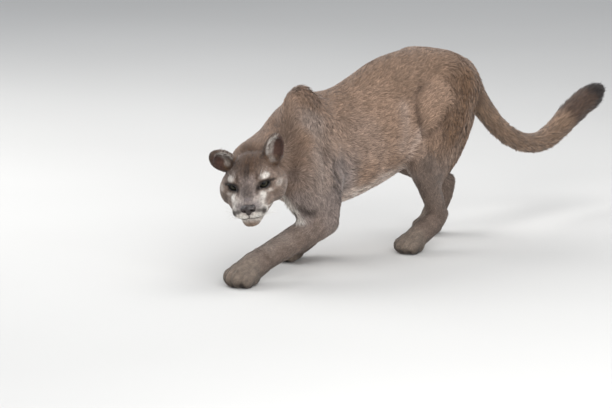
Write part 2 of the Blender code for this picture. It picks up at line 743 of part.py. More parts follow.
def main():
    for old in list(bpy.data.objects):
        bpy.data.objects.remove(old)

    core = bmesh.new()
    trunk(core)
    neck(core)
    for side in (LEFT, RIGHT):
        shoulder_mass(core, side)
        thigh_mass(core, side)
    core = fused(mesh_object("core", core), 0.008, 26)

    limbs = bmesh.new()
    tail(limbs)
    for side in (LEFT, RIGHT):
        forearm(limbs, side)
        shank(limbs, side)
    limbs = fused(mesh_object("limbs", limbs), 0.005, 6)

    skull = bmesh.new()
    head(skull)
    skull = fused(mesh_object("skull", skull), 0.0028, 7)

    feet = bmesh.new()
    for side in (LEFT, RIGHT):
        paw(feet, *FORELEGS[side][2:], FOREPAW_WIDTH)
        paw(feet, *HINDLEGS[side][2:], HINDPAW_WIDTH)
    feet = fused(mesh_object("feet", feet), 0.003, 2)

    body = fused(joined("cougar", (core, limbs, skull, feet)), 0.0036, 4)

    # Fewer faces, with the fine ones kept on the face and the paws
    inward = HEAD_FRAME.inverted()

    def on_face(place):
        near = inward @ place
        return near.x > -0.055 and near.length < 0.150

    def on_paw(place):
        return place.z < 0.060

    thinned(body, 3560, lambda place: not on_face(place) and not on_paw(place))
    thinned(body, 1920, on_face)
    thinned(body, 1380, on_paw)

    # Lids, then the openings between them and the sockets behind
    for side, name in ((LEFT, "eye_left"), (RIGHT, "eye_right")):
        frame = eye_frame(side)
        combine(body, sphere("lid", EYE_RADIUS + LID_THICKNESS, frame), "UNION")
        combine(body, lid_opening(side), "DIFFERENCE")
        combine(body, sphere("socket", EYE_RADIUS + SEAM, frame), "DIFFERENCE")
        sphere(name, EYE_RADIUS, frame)

    # Nose pad, nostrils and the line of the mouth
    nose = nose_pad()
    combine(body, swollen(nose, 1.4 * SEAM), "DIFFERENCE")
    for side in (LEFT, RIGHT):
        combine(body, mouth_line(side, body), "DIFFERENCE")
        combine(nose, nostril(side), "DIFFERENCE")

    # Floor: the paws stand on small flats
    depth = 0.1
    floor = box(Vector((0, 0, 0)), Vector((0, 0, -1)), depth, 1, 1, ACROSS, 0)
    combine(body, floor, "DIFFERENCE")

    # Ears, set on the head, with their hollows cut down into it
    for side, name in ((LEFT, "ear_left"), (RIGHT, "ear_right")):
        cup, hollow = ear(side)
        combine(body, cup, "UNION")
        combine(body, hollow, "DIFFERENCE")
        frame = ear_frame(side)
        _, across, tipward = frame.to_3x3().transposed()
        root = frame @ Vector((0, 0, 0.014))
        cut_off(body, name, (root, tipward, 0.090, 0.032, 0.026, across))

    # Head and neck
    facing, across, _ = HEAD_FRAME.to_3x3().transposed()
    cut_off(body, "head", (in_head(-0.096, 0, -0.010), facing, 0.26, 0.12, 0.13, across))
    base_of_neck = Vector((0.362, 0, 0.290))
    cut_off(body, "neck", (base_of_neck, Vector((0.95, -0.24, -0.18)), 0.16, 0.15, 0.13, ACROSS))

    # Legs, from the paw up
    for side, word in ((LEFT, "left"), (RIGHT, "right")):
        shoulder, elbow, wrist, toes = FORELEGS[side]
        at_wrist = (wrist.lerp(toes, 0.05), toes - wrist, 0.22, 0.062, 0.060, ACROSS)
        cut_off(body, f"forepaw_{word}", at_wrist)
        below_elbow = (elbow.lerp(wrist, 0.20), wrist - elbow, 0.30, 0.054, 0.065, ACROSS)
        cut_off(body, f"foreleg_{word}_lower", below_elbow)
        hip, knee, hock, toes = HINDLEGS[side]
        below_hock = (hock.lerp(toes, 0.12), toes - hock, 0.24, 0.060, 0.058, ACROSS)
        cut_off(body, f"hindpaw_{word}", below_hock)
        below_calf = (knee.lerp(hock, 0.50), hock - knee, 0.30, 0.056, 0.056, ACROSS)
        cut_off(body, f"hindleg_{word}_lower", below_calf)

    # Upper legs, parted from the trunk by regions on one side: from x, to x, from z, to z, distance out.
    # A hind leg's second region takes the inside of the leg too, below the belly.
    outward_regions = {
        "foreleg_left_upper": (LEFT, (0.150, 0.420, 0.080, 0.335, 0.076)),
        "foreleg_right_upper": (RIGHT, (0.010, 0.330, 0.120, 0.345, 0.078)),
        "hindleg_left_upper": (
            LEFT,
            (-0.450, -0.020, 0.040, 0.445, 0.068),
            (-0.450, -0.150, 0.040, 0.252, 0.004),
        ),
        "hindleg_right_upper": (
            RIGHT,
            (-0.450, -0.100, 0.040, 0.445, 0.068),
            (-0.450, -0.125, 0.040, 0.246, 0.004),
        ),
    }
    thickness = 0.14
    for name, (side, *spans) in outward_regions.items():
        boxes = []
        for back, front, low, high, out in spans:
            middle = Vector(((back + front) / 2, side * out, (low + high) / 2))
            size = ((front - back) / 2, (high - low) / 2)
            boxes.append((middle, Vector((0, side, 0)), thickness, *size, Vector((1, 0, 0))))
        cut_off(body, name, *boxes)

    # Tail, from the tip
    for name, place, reach, tall in (
        ("tail_tip", 0.460, 0.30, 0.10),
        ("tail_middle", 0.200, 0.36, 0.13),
        ("tail_base", 0.010, 0.30, 0.078),
    ):
        here, further = (tail_point(*along_tail(at)[:2]) for at in (place, place + 0.02))
        cut_off(body, name, (here, further - here, reach, 0.09, tall, ACROSS))

    largest(body)
    body.name = "torso"
    finish(list(bpy.data.objects))


main()
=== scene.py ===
"""A cougar at life size, stalking low, with its forepaw stretched out and its head turned to its left.

Metres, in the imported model's frame: the cat faces +X, its left is +Y, and the floor is Z = 0.
"""

import math

import bmesh
import bpy
import numpy as np
from mathutils import Matrix, Vector
from mathutils.bvhtree import BVHTree


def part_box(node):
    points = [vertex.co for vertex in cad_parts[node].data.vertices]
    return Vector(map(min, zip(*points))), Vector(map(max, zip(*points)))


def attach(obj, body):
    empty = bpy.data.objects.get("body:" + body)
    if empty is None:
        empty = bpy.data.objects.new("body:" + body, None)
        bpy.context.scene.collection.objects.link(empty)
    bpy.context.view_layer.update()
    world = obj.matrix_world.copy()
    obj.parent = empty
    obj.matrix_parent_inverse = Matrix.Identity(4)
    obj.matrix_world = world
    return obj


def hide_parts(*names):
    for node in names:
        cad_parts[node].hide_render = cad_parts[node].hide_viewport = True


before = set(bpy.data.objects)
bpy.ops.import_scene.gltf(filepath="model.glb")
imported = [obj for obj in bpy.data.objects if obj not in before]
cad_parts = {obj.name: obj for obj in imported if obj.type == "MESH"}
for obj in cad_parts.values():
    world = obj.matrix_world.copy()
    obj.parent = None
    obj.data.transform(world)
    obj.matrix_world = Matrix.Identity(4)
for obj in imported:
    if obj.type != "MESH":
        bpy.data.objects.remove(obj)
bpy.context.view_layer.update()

# CAMERA
# A long lens thirteen metres off, ahead of the cat and to its left, a little above its back.
# It looks past the muzzle, because the picture is centred on the shoulder.
bpy.ops.object.select_all(action="DESELECT")
LENS_DISTANCE = 13.0
LENS_AZIMUTH = math.radians(135)
LENS_RISE = math.radians(10)
BETWEEN_EYES = Vector((0.76484, 0.05955, 0.257))
METRES_PER_PIXEL = 0.0026
FRAME_WIDTH = 612
FACE_LEFT_OF_CENTRE = 58.7
FACE_ABOVE_CENTRE = 18.0
toward_lens = Vector(
    (
        math.sin(LENS_AZIMUTH) * math.cos(LENS_RISE),
        -math.cos(LENS_AZIMUTH) * math.cos(LENS_RISE),
        math.sin(LENS_RISE),
    )
)
facing_lens = toward_lens.to_track_quat("Z", "Y")
off_centre = Vector((FACE_LEFT_OF_CENTRE, -FACE_ABOVE_CENTRE, 0)) * METRES_PER_PIXEL
lens_place = BETWEEN_EYES + toward_lens * LENS_DISTANCE
bpy.ops.object.camera_add(location=lens_place)
camera = bpy.context.object
camera.name = "camera"
aim = BETWEEN_EYES + facing_lens @ off_centre
camera.rotation_euler = (lens_place - aim).to_track_quat("Z", "Y").to_euler()
camera.data.lens = camera.data.sensor_width * LENS_DISTANCE / (FRAME_WIDTH * METRES_PER_PIXEL)
camera.data.clip_end = 100
bpy.context.scene.camera = camera

# SKIN
# One hide over the whole animal, from the nose to the tip of the tail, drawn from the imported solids.
# It is finest on the ears, fine on the head and the paws, and all is fused into one closed skin.
BARE_NODES = ("nose", "eye_left", "eye_right")
EAR_NODES = ("ear_left", "ear_right")
PAW_NODES = ("forepaw_left", "forepaw_right", "hindpaw_left", "hindpaw_right")
flesh = sorted(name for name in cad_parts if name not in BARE_NODES)
SEAM_OVERLAP = 0.0004
BODY_GRAIN, PAW_GRAIN, HEAD_GRAIN, EAR_GRAIN = 0.0066, 0.0030, 0.0020, 0.0014


def smooth_step(low, high, value):
    """From 0 at low to 1 at high, whichever of them is the greater."""
    share = np.clip((value - low) / (high - low), 0, 1)
    return share * share * (3 - 2 * share)


def apply(kind, **settings):
    """Adds a modifier to the active object, sets it and applies it."""
    piece = bpy.context.object
    modifier = piece.modifiers.new(kind.lower(), kind)
    for setting, value in settings.items():
        setattr(modifier, setting, value)
    bpy.ops.object.modifier_apply(modifier=modifier.name)


def alone(piece):
    bpy.ops.object.select_all(action="DESELECT")
    piece.select_set(True)
    bpy.context.view_layer.objects.active = piece


def merged(names):
    """The nodes' loose triangles as closed surfaces that just overlap at the seams."""
    clay = bmesh.new()
    for name in names:
        clay.from_mesh(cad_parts[name].data)
    bmesh.ops.remove_doubles(clay, verts=clay.verts, dist=1e-5)
    clay.normal_update()
    for vert in clay.verts:
        vert.co += SEAM_OVERLAP * vert.normal
    return clay


def hide(name, nodes, grain, smoothing, sunk=(), sink=0.0, over=1.0):
    """A fused hide over these nodes, and over the sunk ones at a depth that grows from their seams."""
    clay = merged(nodes)
    if sunk:
        near = BVHTree.FromBMesh(clay)
        under = merged(sunk)
        under.normal_update()
        for vert in under.verts:
            distance = near.find_nearest(vert.co)[3]
            vert.co -= sink * float(smooth_step(0.001, over, distance)) * vert.normal
        lower = bpy.data.meshes.new("lower")
        under.to_mesh(lower)
        under.free()
        clay.from_mesh(lower)
    mesh = bpy.data.meshes.new(name)
    clay.to_mesh(mesh)
    clay.free()
    made = bpy.data.objects.new(name, mesh)
    bpy.context.scene.collection.objects.link(made)
    alone(made)
    apply("REMESH", mode="VOXEL", voxel_size=grain)
    apply("SMOOTH", factor=0.5, iterations=smoothing)
    return made


body_nodes = [name for name in flesh if name not in ("head", *EAR_NODES, *PAW_NODES)]
ear_hide = hide("ear_hide", EAR_NODES, EAR_GRAIN, 3)
head_hide = hide("head_hide", ("head",), HEAD_GRAIN, 6, sunk=EAR_NODES, sink=0.002, over=0.010)
paw_hide = hide("paw_hide", PAW_NODES, PAW_GRAIN, 4)
skin = hide("skin", body_nodes, BODY_GRAIN, 12, sunk=("head", *PAW_NODES), sink=0.0055, over=0.022)
for finer in (head_hide, paw_hide, ear_hide):
    apply("BOOLEAN", operation="UNION", solver="MANIFOLD", object=finer)
    bpy.data.objects.remove(finer)
bpy.ops.object.shade_smooth()
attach(skin, "root")
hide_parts(*flesh)

# LIE OF THE COAT
# Hair grows back from the nose, along the trunk to the tail and down each leg to the toes.
# Each line follows the hair as it is combed. A row is a place, the hair's length and its depth in
# millimetres, and its colour. Between the rows all of these pass smoothly from one to the next.
HEAD_PLACE = Vector((0.77584, 0.08055, 0.262))
HEAD_YAW, HEAD_PITCH, HEAD_ROLL = math.radians(38), math.radians(12), math.radians(7.5)
head_frame = (
    Matrix.Translation(HEAD_PLACE)
    @ Matrix.Rotation(HEAD_YAW, 4, "Z")
    @ Matrix.Rotation(HEAD_PITCH, 4, "Y")
    @ Matrix.Rotation(HEAD_ROLL, 4, "X")
)
HEAD_AXES = np.array(head_frame.to_3x3())
HEAD_ORIGIN = np.array(HEAD_PLACE)

COLOURS = {
    "back": (130, 106, 88),
    "flank": (150, 124, 105),
    "ribs": (152, 129, 113),
    "warm": (126, 97, 73),
    "rump": (134, 110, 92),
    "thigh": (122, 98, 80),
    "hump": (138, 113, 95),
    "shoulder": (151, 134, 123),
    "neck": (132, 109, 93),
    "grey": (143, 129, 122),
    "leg": (129, 112, 101),
    "paw": (146, 131, 118),
    "cream": (212, 192, 179),
    "chest": (178, 162, 152),
    "tail": (134, 110, 91),
    "dusk": (84, 67, 57),
    "black": (42, 33, 29),
    "crown": (84, 62, 46),
    "cheek": (134, 116, 104),
    "white": (234, 226, 216),
    "bridge": (78, 66, 60),
    "muzzle": (122, 112, 110),
    "chin": (124, 103, 86),
    "ear_back": (92, 76, 66),
    "ear_deep": (84, 62, 54),
    "ear_hair": (196, 187, 178),
}
BOTH_SIDES = (
    ((0.45, 0.07, 0.44, 20, 6, "hump"), (0.30, 0.075, 0.45, 20, 6, "flank"),
     (0.20, 0.080, 0.475, 20, 6, "rump"),
     (0.10, 0.070, 0.505, 20, 6, "rump"), (0.00, 0.065, 0.515, 21, 6, "rump"),
     (-0.07, 0.050, 0.485, 23, 7, "rump")),
    ((0.47, 0.115, 0.34, 20, 6, "ribs"), (0.36, 0.122, 0.33, 20, 6, "ribs"),
     (0.26, 0.122, 0.355, 20, 6, "flank"),
     (0.16, 0.117, 0.38, 20, 6, "flank"), (0.09, 0.105, 0.41, 20, 6, "flank")),
    ((0.46, 0.105, 0.23, 22, 6, "grey"), (0.36, 0.110, 0.23, 22, 6, "flank"),
     (0.26, 0.108, 0.255, 24, 7, "flank"),
     (0.18, 0.104, 0.28, 24, 7, "ribs")),
    ((0.46, 0.070, 0.165, 28, 8, "cream"), (0.36, 0.070, 0.175, 28, 8, "cream"),
     (0.26, 0.070, 0.205, 30, 9, "cream"), (0.17, 0.070, 0.24, 30, 9, "cream")),
)
ONE_SIDE = (
    # Spine
    ((0.64, 0.03, 0.385, 20, 7, "neck"), (0.58, 0.00, 0.43, 20, 6, "hump"),
     (0.51, 0.00, 0.465, 18, 6, "hump"),
     (0.40, 0.00, 0.463, 18, 6, "back"), (0.30, 0.00, 0.475, 18, 6, "back"),
     (0.20, 0.00, 0.51, 18, 6, "back"),
     (0.10, 0.00, 0.54, 18, 6, "back"), (0.00, 0.00, 0.54, 20, 6, "back"),
     (-0.08, 0.00, 0.52, 22, 7, "back"),
     (-0.13, 0.00, 0.49, 26, 8, "tail")),
    # Belly
    ((0.56, 0.00, 0.16, 26, 8, "cream"), (0.46, 0.00, 0.146, 28, 8, "cream"),
     (0.36, 0.00, 0.155, 30, 9, "cream"),
     (0.26, 0.00, 0.185, 32, 9, "cream"), (0.16, 0.00, 0.22, 32, 9, "cream"),
     (0.08, 0.00, 0.265, 30, 9, "cream"),
     (0.00, 0.00, 0.31, 28, 8, "cream"), (-0.08, 0.00, 0.35, 26, 8, "cream")),
    # Chest and throat
    ((0.665, 0.045, 0.33, 24, 8, "shoulder"), (0.645, 0.035, 0.29, 26, 8, "shoulder"),
     (0.612, 0.02, 0.24, 26, 8, "chest"), (0.565, 0.00, 0.185, 26, 8, "cream")),
    ((0.72, 0.03, 0.195, 18, 5, "white"), (0.67, 0.015, 0.195, 22, 7, "chest"),
     (0.61, 0.00, 0.19, 24, 8, "chest")),
    # Neck: crest, left side, right side
    ((0.70, 0.03, 0.345, 18, 6, "neck"), (0.65, 0.01, 0.375, 20, 7, "neck"),
     (0.59, -0.01, 0.41, 20, 7, "hump")),
    ((0.69, 0.09, 0.29, 18, 6, "neck"), (0.635, 0.10, 0.31, 20, 7, "neck"),
     (0.60, 0.11, 0.35, 20, 6, "hump")),
    ((0.69, -0.045, 0.27, 18, 6, "neck"), (0.62, -0.08, 0.30, 20, 7, "neck"),
     (0.56, -0.10, 0.33, 20, 6, "shoulder")),
    # Sides of the chest, down into the crooks of the forelegs
    ((0.665, 0.080, 0.310, 20, 7, "neck"), (0.645, 0.085, 0.260, 20, 7, "grey"),
     (0.625, 0.093, 0.215, 20, 6, "grey"), (0.605, 0.105, 0.175, 18, 6, "grey")),
    ((0.600, -0.085, 0.300, 20, 7, "neck"), (0.580, -0.095, 0.250, 20, 7, "grey"),
     (0.555, -0.100, 0.205, 20, 6, "grey")),
    # Left shoulder and foreleg
    ((0.525, 0.055, 0.470, 18, 5, "hump"), (0.555, 0.100, 0.410, 18, 5, "shoulder"),
     (0.575, 0.125, 0.34, 16, 5, "shoulder"),
     (0.560, 0.145, 0.270, 15, 5, "shoulder"), (0.535, 0.155, 0.20, 14, 4, "grey"),
     (0.53, 0.13, 0.14, 13, 4, "grey")),
    ((0.47, 0.100, 0.380, 20, 6, "ribs"), (0.475, 0.125, 0.29, 20, 6, "grey"),
     (0.49, 0.135, 0.20, 20, 6, "grey"),
     (0.50, 0.120, 0.13, 18, 5, "leg")),
    ((0.56, 0.110, 0.135, 12, 3.5, "leg"), (0.62, 0.100, 0.105, 11, 3, "leg"),
     (0.68, 0.088, 0.075, 10, 2.5, "leg"),
     (0.74, 0.079, 0.055, 8, 2, "leg"), (0.80, 0.079, 0.040, 7, 1.6, "paw"),
     (0.84, 0.079, 0.030, 6, 1.4, "paw")),
    # Right shoulder and foreleg
    ((0.43, -0.065, 0.435, 18, 5, "hump"), (0.50, -0.110, 0.380, 18, 5, "shoulder"),
     (0.53, -0.135, 0.31, 16, 5, "shoulder"),
     (0.45, -0.155, 0.280, 16, 5, "shoulder"), (0.36, -0.15, 0.26, 16, 5, "grey")),
    ((0.335, -0.125, 0.25, 14, 4, "leg"), (0.35, -0.112, 0.17, 12, 3, "leg"),
     (0.37, -0.10, 0.10, 10, 2.5, "leg"),
     (0.40, -0.092, 0.055, 8, 2, "leg"), (0.46, -0.092, 0.035, 7, 1.6, "paw"),
     (0.50, -0.092, 0.028, 6, 1.4, "paw")),
    # Left thigh, its rear edge, its inside, and the leg below
    ((-0.02, 0.060, 0.500, 21, 6, "rump"), (0.01, 0.105, 0.44, 21, 6, "thigh"),
     (0.07, 0.135, 0.37, 19, 6, "thigh"),
     (0.14, 0.150, 0.305, 16, 5, "flank"), (0.165, 0.140, 0.26, 14, 4, "leg")),
    ((-0.12, 0.050, 0.46, 32, 9, "warm"), (-0.105, 0.085, 0.38, 34, 10, "warm"),
     (-0.04, 0.105, 0.29, 32, 9, "warm"),
     (0.01, 0.095, 0.21, 26, 7, "warm"), (0.03, 0.080, 0.14, 16, 4, "leg")),
    ((-0.03, 0.025, 0.33, 24, 7, "chest"), (0.03, 0.035, 0.27, 20, 6, "chest"),
     (0.06, 0.045, 0.20, 16, 4, "chest")),
    ((0.135, 0.110, 0.20, 13, 4, "leg"), (0.09, 0.095, 0.14, 10, 3, "leg"),
     (0.05, 0.080, 0.09, 9, 2.5, "leg"),
     (0.10, 0.074, 0.055, 8, 2, "leg"), (0.155, 0.072, 0.035, 7, 1.6, "paw"),
     (0.19, 0.072, 0.028, 6, 1.4, "paw")),
    # Right thigh and leg, the same way
    ((-0.05, -0.075, 0.505, 21, 6, "rump"), (-0.03, -0.125, 0.43, 21, 6, "thigh"),
     (0.01, -0.150, 0.34, 19, 6, "thigh"), (0.045, -0.150, 0.27, 16, 5, "flank"),
     (0.035, -0.140, 0.23, 14, 4, "leg")),
    ((-0.13, -0.060, 0.46, 32, 9, "warm"), (-0.135, -0.100, 0.38, 34, 10, "warm"),
     (-0.12, -0.115, 0.29, 32, 9, "warm"), (-0.125, -0.105, 0.215, 24, 6, "warm"),
     (-0.15, -0.092, 0.16, 14, 4, "leg")),
    ((-0.05, -0.040, 0.33, 24, 7, "chest"), (-0.06, -0.050, 0.26, 20, 6, "chest"),
     (-0.09, -0.060, 0.20, 14, 4, "chest")),
    ((0.00, -0.125, 0.205, 12, 4, "leg"), (-0.09, -0.105, 0.165, 10, 3, "leg"),
     (-0.150, -0.090, 0.120, 9, 2.5, "leg"), (-0.12, -0.088, 0.065, 8, 2, "leg"),
     (-0.075, -0.088, 0.038, 7, 1.6, "paw"), (-0.045, -0.088, 0.028, 6, 1.4, "paw")),
    # Tail
    ((-0.135, -0.006, 0.455, 28, 9, "tail"), (-0.178, -0.014, 0.396, 30, 10, "tail"),
     (-0.213, -0.020, 0.359, 30, 10, "tail"),
     (-0.257, -0.028, 0.319, 30, 10, "tail"), (-0.316, -0.038, 0.272, 30, 10, "tail"),
     (-0.405, -0.054, 0.226, 32, 10, "tail"),
     (-0.494, -0.070, 0.205, 34, 11, "tail"), (-0.563, -0.082, 0.209, 36, 12, "tail"),
     (-0.622, -0.092, 0.229, 36, 13, "tail"),
     (-0.671, -0.101, 0.252, 38, 14, "dusk"), (-0.730, -0.111, 0.276, 38, 14, "dusk"),
     (-0.789, -0.122, 0.294, 36, 13, "black"),
     (-0.830, -0.129, 0.306, 30, 10, "black")),
)
# On the head, forward of the eyes, out to a side and up from between them
HEAD_HAIR = (
    (0.078, 0.000, -0.020, 2.5, 0.5, "grey"), (0.045, 0.000, -0.004, 3.5, 0.7, "grey"),
    (0.020, 0.000, 0.010, 4.5, 0.9, "grey"), (-0.010, 0.000, 0.040, 6, 1.5, "crown"),
    (-0.045, 0.000, 0.062, 8, 2.2, "crown"), (-0.085, 0.000, 0.062, 12, 4, "crown"),
    (0.066, 0.030, -0.045, 3.5, 0.7, "white"), (0.030, 0.043, -0.042, 5, 1.0, "cheek"),
    (0.062, 0.000, -0.088, 6, 1.2, "chest"), (0.015, 0.030, -0.094, 8, 2.0, "white"),
    (-0.030, 0.060, -0.090, 13, 4, "white"), (-0.060, 0.000, -0.098, 16, 5, "white"),
    (0.004, 0.052, -0.022, 5, 1.0, "cheek"), (-0.020, 0.074, -0.040, 9, 2.5, "cheek"),
    (-0.060, 0.088, -0.045, 15, 4.5, "cheek"), (-0.095, 0.080, -0.045, 19, 6.5, "neck"),
    (-0.020, 0.055, 0.018, 5, 1.2, "cheek"), (-0.060, 0.062, 0.030, 9, 2.2, "crown"),
    (-0.095, 0.050, 0.040, 15, 5, "neck"), (0.000, 0.038, 0.000, 3, 0.5, "cheek"),
)
LIE_SPAN = 0.020

# Each ear: the middle of its base, the way to its tip, and the way its hollow faces
EARS = {
    1: ((-0.070, 0.054, 0.036), (-0.22, 0.34, 0.92), (0.86, 0.42, 0.10)),
    -1: ((-0.070, -0.057, 0.038), (0.55, -0.45, 0.64), (0.74, 0.36, -0.22)),
}
EAR_HEIGHT, EAR_WIDTH = 0.074, 0.056
EAR_HOLLOW = np.array((0.0245, 0.405 * EAR_WIDTH, 0.43 * EAR_HEIGHT))
EAR_HOLLOW_PLACE = np.array((0.014, 0, 0.46 * EAR_HEIGHT))
ear_frames = []
for side, (base, tip, facing) in EARS.items():
    tip = np.array(tip) / np.linalg.norm(tip)
    facing = np.array(facing) - np.dot(facing, tip) * tip
    facing /= np.linalg.norm(facing)
    ear_axes = HEAD_AXES @ np.stack([facing, np.cross(tip, facing), tip], axis=1)
    ear_frames.append((side, HEAD_ORIGIN + HEAD_AXES @ np.array(base), ear_axes))

# Marks of the face, the same on both sides: a place, how far the mark reaches forward,
# out and up from it in millimetres, its colour, and how strongly it shows
FACE_MARKS = (
    (0.045, 0.000, 0.000, 36, 19, 17, "bridge", 0.80),
    (0.055, 0.046, -0.0300, 16, 8, 8, "cheek", 0.60),
    (0.078, 0.020, -0.0270, 18, 17, 10, "muzzle", 0.85),
    (0.066, 0.000, -0.014, 13, 10, 8, "muzzle", 0.70),
    (0.000, 0.003, 0.038, 40, 4.5, 20, "black", 0.65),
    (-0.030, 0.018, 0.052, 40, 3.5, 14, "dusk", 0.65),
    (-0.045, 0.034, 0.050, 40, 4, 14, "dusk", 0.50),
    (0.007, 0.0255, 0.024, 18, 4.5, 10, "dusk", 0.80),
    (-0.002, 0.046, 0.0215, 20, 13, 6.5, "white", 0.80),
    (0.034, 0.0385, -0.0165, 22, 9, 8, "white", 0.95),
    (-0.002, 0.050, -0.0150, 16, 11, 5, "white", 0.60),
    (0.010, 0.066, -0.0230, 26, 9, 9, "dusk", 0.40),
    (-0.015, 0.075, -0.0050, 24, 9, 8, "white", 0.35),
    (0.000, 0.038, 0.0010, 26, 22, 13.0, "black", 0.75),
    (0.000, 0.038, 0.0010, 24, 20, 11.5, "black", 0.90),
    (0.002, 0.046, 0.0085, 18, 17, 4.0, "black", 0.85),
    (0.018, 0.0265, -0.0030, 16, 7, 6, "black", 1.00),
    (0.032, 0.0235, -0.0090, 16, 4.5, 6, "dusk", 0.75),
    (-0.010, 0.060, 0.0060, 13, 9, 3.5, "black", 0.85),
    (0.083, 0.027, -0.0380, 12, 9, 5.5, "black", 0.80),
    (0.086, 0.017, -0.0515, 14, 13, 5.0, "white", 1.00),
    (0.074, 0.038, -0.0430, 15, 9, 10, "black", 0.95),
    (0.074, 0.000, -0.0780, 22, 24, 11, "chin", 0.85),
    (-0.064, 0.058, 0.0420, 12, 10, 9, "ear_hair", 0.50),
)



def linear(shade):
    """A colour from 0 to 255, as eyes see it, in the shader's linear light."""
    return (np.array(shade) / 255) ** 2.2


def combed(line):
    """The places along a line, with the way the hair lies there and the values of the rows."""
    spots = np.array([row[:3] for row in line])
    ways = np.gradient(spots, axis=0)
    ways /= np.linalg.norm(ways, axis=1, keepdims=True)
    values = [(*np.array(row[3:5]) / 1000, *linear(COLOURS[row[5]])) for row in line]
    return np.hstack([spots, ways, values])


def mirrored(line):
    return [(row[0], -row[1], *row[2:]) for row in line]


def out_of_head(forward, left, up):
    return tuple(head_frame @ Vector((forward, left, up)))


comb_lines = [combed(line) for line in ONE_SIDE]
for line in BOTH_SIDES:
    comb_lines += [combed(line), combed(mirrored(line))]
head_rows = {(f, side * out, up, *rest) for f, out, up, *rest in HEAD_HAIR for side in (1, -1)}
for forward, out, up, *rest in sorted(head_rows):
    pair = [(*out_of_head(forward + step, out, up), *rest) for step in (0.001, -0.001)]
    comb_lines.append(combed(pair))
COMB = np.vstack(comb_lines)


def in_chunks(work, spots, size=40000):
    return np.vstack([work(spots[at : at + size]) for at in range(0, len(spots), size)])


# The face turns a little more to the cat's right at the eyes than at the nose
EYES_ASIDE = 0.004


def near_eyes(spots):
    forward, left, up = in_head(spots).T
    return np.exp(-((left / 0.062) ** 4) - (up / 0.050) ** 4) * smooth_step(0.070, 0.030, forward)


def from_comb(spots):
    """The way the hair lies, its length, its depth and its colour, from the combed lines alone."""
    gaps = ((spots[:, None, :] - COMB[None, :, :3]) ** 2).sum(axis=2)
    pulls = 1 / (gaps + LIE_SPAN**2) ** 2.5
    pulls /= pulls.sum(axis=1, keepdims=True)
    return pulls @ COMB[:, 3:]


